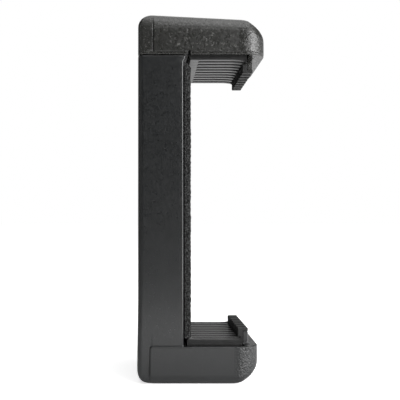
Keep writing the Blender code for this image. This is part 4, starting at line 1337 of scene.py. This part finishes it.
def white_for_the_eye(nodes, shader, white, share):
    """Shows white to the camera and, by a share, in reflections, and the shader to other light."""
    path = nodes.tree.nodes.new("ShaderNodeLightPath")
    mirrored_share = nodes.math("MULTIPLY", path.outputs["Is Glossy Ray"], share)
    seen = nodes.math("MAXIMUM", path.outputs["Is Camera Ray"], mirrored_share)
    seen = nodes.math("MAXIMUM", seen, path.outputs["Is Transmission Ray"])
    return nodes.new("ShaderNodeMixShader", {0: seen, 1: shader, 2: white}).outputs[0]


def slanted(nodes):
    """Value that grows to the back, and faster to the right."""
    return nodes.math("MULTIPLY_ADD", nodes.axis("X"), 3.0, nodes.axis("Y"))


def make_world():
    """Studio that is dim in front of the object, with a plain white backdrop behind it."""
    world = bpy.data.worlds.new("studio")
    bpy.context.scene.world = world
    world.use_nodes = True
    world.node_tree.nodes.clear()
    nodes = Nodes(world.node_tree, "Generated")
    slant = slanted(nodes)
    right = nodes.map(slant, 0.65, 1.25, 0, 1, smooth=True)
    low = nodes.map(nodes.axis("Z"), 0, 0.45, 1.0, 0.15, smooth=True)
    left = nodes.map(slant, -2.9, -2.1, 0.4, 0, smooth=True)
    share = nodes.math("MAXIMUM", nodes.math("MULTIPLY", right, low), left)
    fill = nodes.new("ShaderNodeBackground", {"Strength": 0.04})
    white = nodes.new("ShaderNodeBackground", {"Color": (1, 1, 1, 1), "Strength": 1.0})
    shown = white_for_the_eye(nodes, fill.outputs[0], white.outputs[0], share)
    nodes.new("ShaderNodeOutputWorld", {"Surface": shown})


def make_floor():
    """Pale floor that keeps the object's shadow and fades into the white backdrop."""
    bm = bmesh.new()
    bmesh.ops.create_grid(bm, x_segments=1, y_segments=1, size=4)
    mesh = bpy.data.meshes.new("floor")
    bm.to_mesh(mesh)
    bm.free()
    floor = add_piece("floor", mesh)
    floor.location = (0, 0, -0.02 * MM)
    paint = Finish("floor", (0.8, 0.8, 0.8), 0.9)
    paint.feed(paint.shader, {"Specular IOR Level": 0.0})
    distance = paint.tree.nodes.new("ShaderNodeVectorMath")
    distance.operation = "LENGTH"
    paint.feed(distance, {0: paint.place})
    far = paint.map(distance.outputs["Value"], 0.08, 0.5, 0.7, 1.0, smooth=True)
    glow = paint.new("ShaderNodeEmission", {"Strength": far}).outputs[0]
    shader = paint.shader.outputs[0]
    white = paint.new("ShaderNodeAddShader", {0: shader, 1: glow}).outputs[0]
    behind = paint.map(slanted(paint), 0.06, 0.26, 0, 1, smooth=True)
    shown = white_for_the_eye(paint, shader, white, behind)
    paint.feed(paint.tree.nodes["Material Output"], {"Surface": shown})
    mesh.materials.append(paint.material)


# Assembly

make_camera()
make_lights()
make_world()
make_floor()

HOUSING_COLOR = (0.0085, 0.0092, 0.0096)
JAW_COLOR = (0.017, 0.017, 0.0155)
COVER_COLOR = (0.006, 0.0062, 0.0062)
SLIDER_COLOR = (0.045, 0.045, 0.046)
RUBBER_COLOR = (0.018, 0.018, 0.018)
BRASS_COLOR = (0.72, 0.50, 0.20)
SCREW_COLOR = (0.42, 0.42, 0.43)
PIN_COLOR = (0.45, 0.45, 0.46)
SPRING_COLOR = (0.40, 0.40, 0.41)

HOUSING_TIP = (22.0 * MM, 0.3 * MM, 0.0, LOWER_JAW_HEIGHT + 0.5 * MM, LOWER_JAW_HEIGHT)
JAW_TIP = (23.4 * MM, 0.11 * MM, 0.13, UPPER_JAW_BOTTOM, UPPER_JAW_BOTTOM + 0.6 * MM)

housing_finish = moulded_plastic(
    "housing", HOUSING_COLOR, 0.34, grain=0.5 * MM, relief=0.018 * MM, tips=HOUSING_TIP
)
jaw_finish = moulded_plastic(
    "jaw", JAW_COLOR, 0.3, grain=0.6 * MM, relief=0.08 * MM, painted_glints=0.5, tips=JAW_TIP, matt_top=0.3
)
cover_finish = leather_plastic("cover", COVER_COLOR)
slider_finish = moulded_plastic(
    "slider", SLIDER_COLOR, 0.42, grain=0.35 * MM, relief=0.01 * MM
)
lower_rubber = ribbed_rubber(
    "lower_rubber", RUBBER_COLOR, lower_pad_low.x + LOWER_BORDER, lip_face_of(LOWER_LIP)
)
upper_rubber = ribbed_rubber(
    "upper_rubber", RUBBER_COLOR, upper_pad_low.x + UPPER_BORDER, lip_face_of(UPPER_LIP)
)
brass = plated_metal("brass", BRASS_COLOR, 0.3, 0.2 * MM)
plated = plated_metal("plated_steel", SCREW_COLOR, 0.35, 0.15 * MM)
ground = plated_metal("ground_steel", PIN_COLOR, 0.3, 0.1 * MM, (0.1, 1, 1))
drawn = plated_metal("drawn_wire", SPRING_COLOR, 0.32, 0.12 * MM, (1, 1, 0.3))

dress(make_housing(), housing_finish, "clip_body", "housing_plastic", "rear_housing")
dress(make_cover_plate(), cover_finish, "clip_body", "cover_plastic", "front_cover")
dress(make_cover_frame(), cover_finish, "clip_body", "cover_plastic", "front_cover")
dress(make_insert(), brass, "clip_body", "insert_brass", "thread_insert")
dress(make_jaw(), jaw_finish, "upper_jaw", "jaw_plastic", "upper_jaw_shell")
dress(make_slider(), slider_finish, "upper_jaw", "slider_plastic", "slider")

lower_pad = make_pad(
    "lower_pad", lower_pad_low, lower_pad_high, LOWER_LIP, LOWER_JAW_HEIGHT, 1, LOWER_BORDER,
    LOWER_PAD_RISE,
)
dress(lower_pad, lower_rubber, "clip_body", "grip_rubber", "lower_grip_pad")
upper_pad = make_pad(
    "upper_pad", upper_pad_low, upper_pad_high, UPPER_LIP, UPPER_JAW_BOTTOM, -1, UPPER_BORDER,
    UPPER_PAD_RISE,
)
dress(upper_pad, upper_rubber, "upper_jaw", "grip_rubber", "upper_grip_pad")

for number in range(1, 5):
    node = f"cover_screw_{number}"
    screw = make_screw(f"back_screw_{number}", node)
    dress(screw, plated, "clip_body", "screw_steel", node)
for name in ("left", "right"):
    screw = make_screw(f"{name}_jaw_screw", f"jaw_screw_{name}")
    dress(screw, plated, "upper_jaw", "screw_steel", f"jaw_screw_{name}")
    spring = make_spring(f"{name}_coil", f"{name}_spring")
    spring.data.materials.append(drawn)
    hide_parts(f"{name}_spring")
    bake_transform(spring)
    for level, body in (("lower", "clip_body"), ("upper", "upper_jaw")):
        node = f"{level}_spring_pin_{name}"
        dress(make_pin(f"{level}_{name}_pin", node), ground, body, "pin_steel", node)

bpy.context.scene.view_settings.view_transform = "Standard"
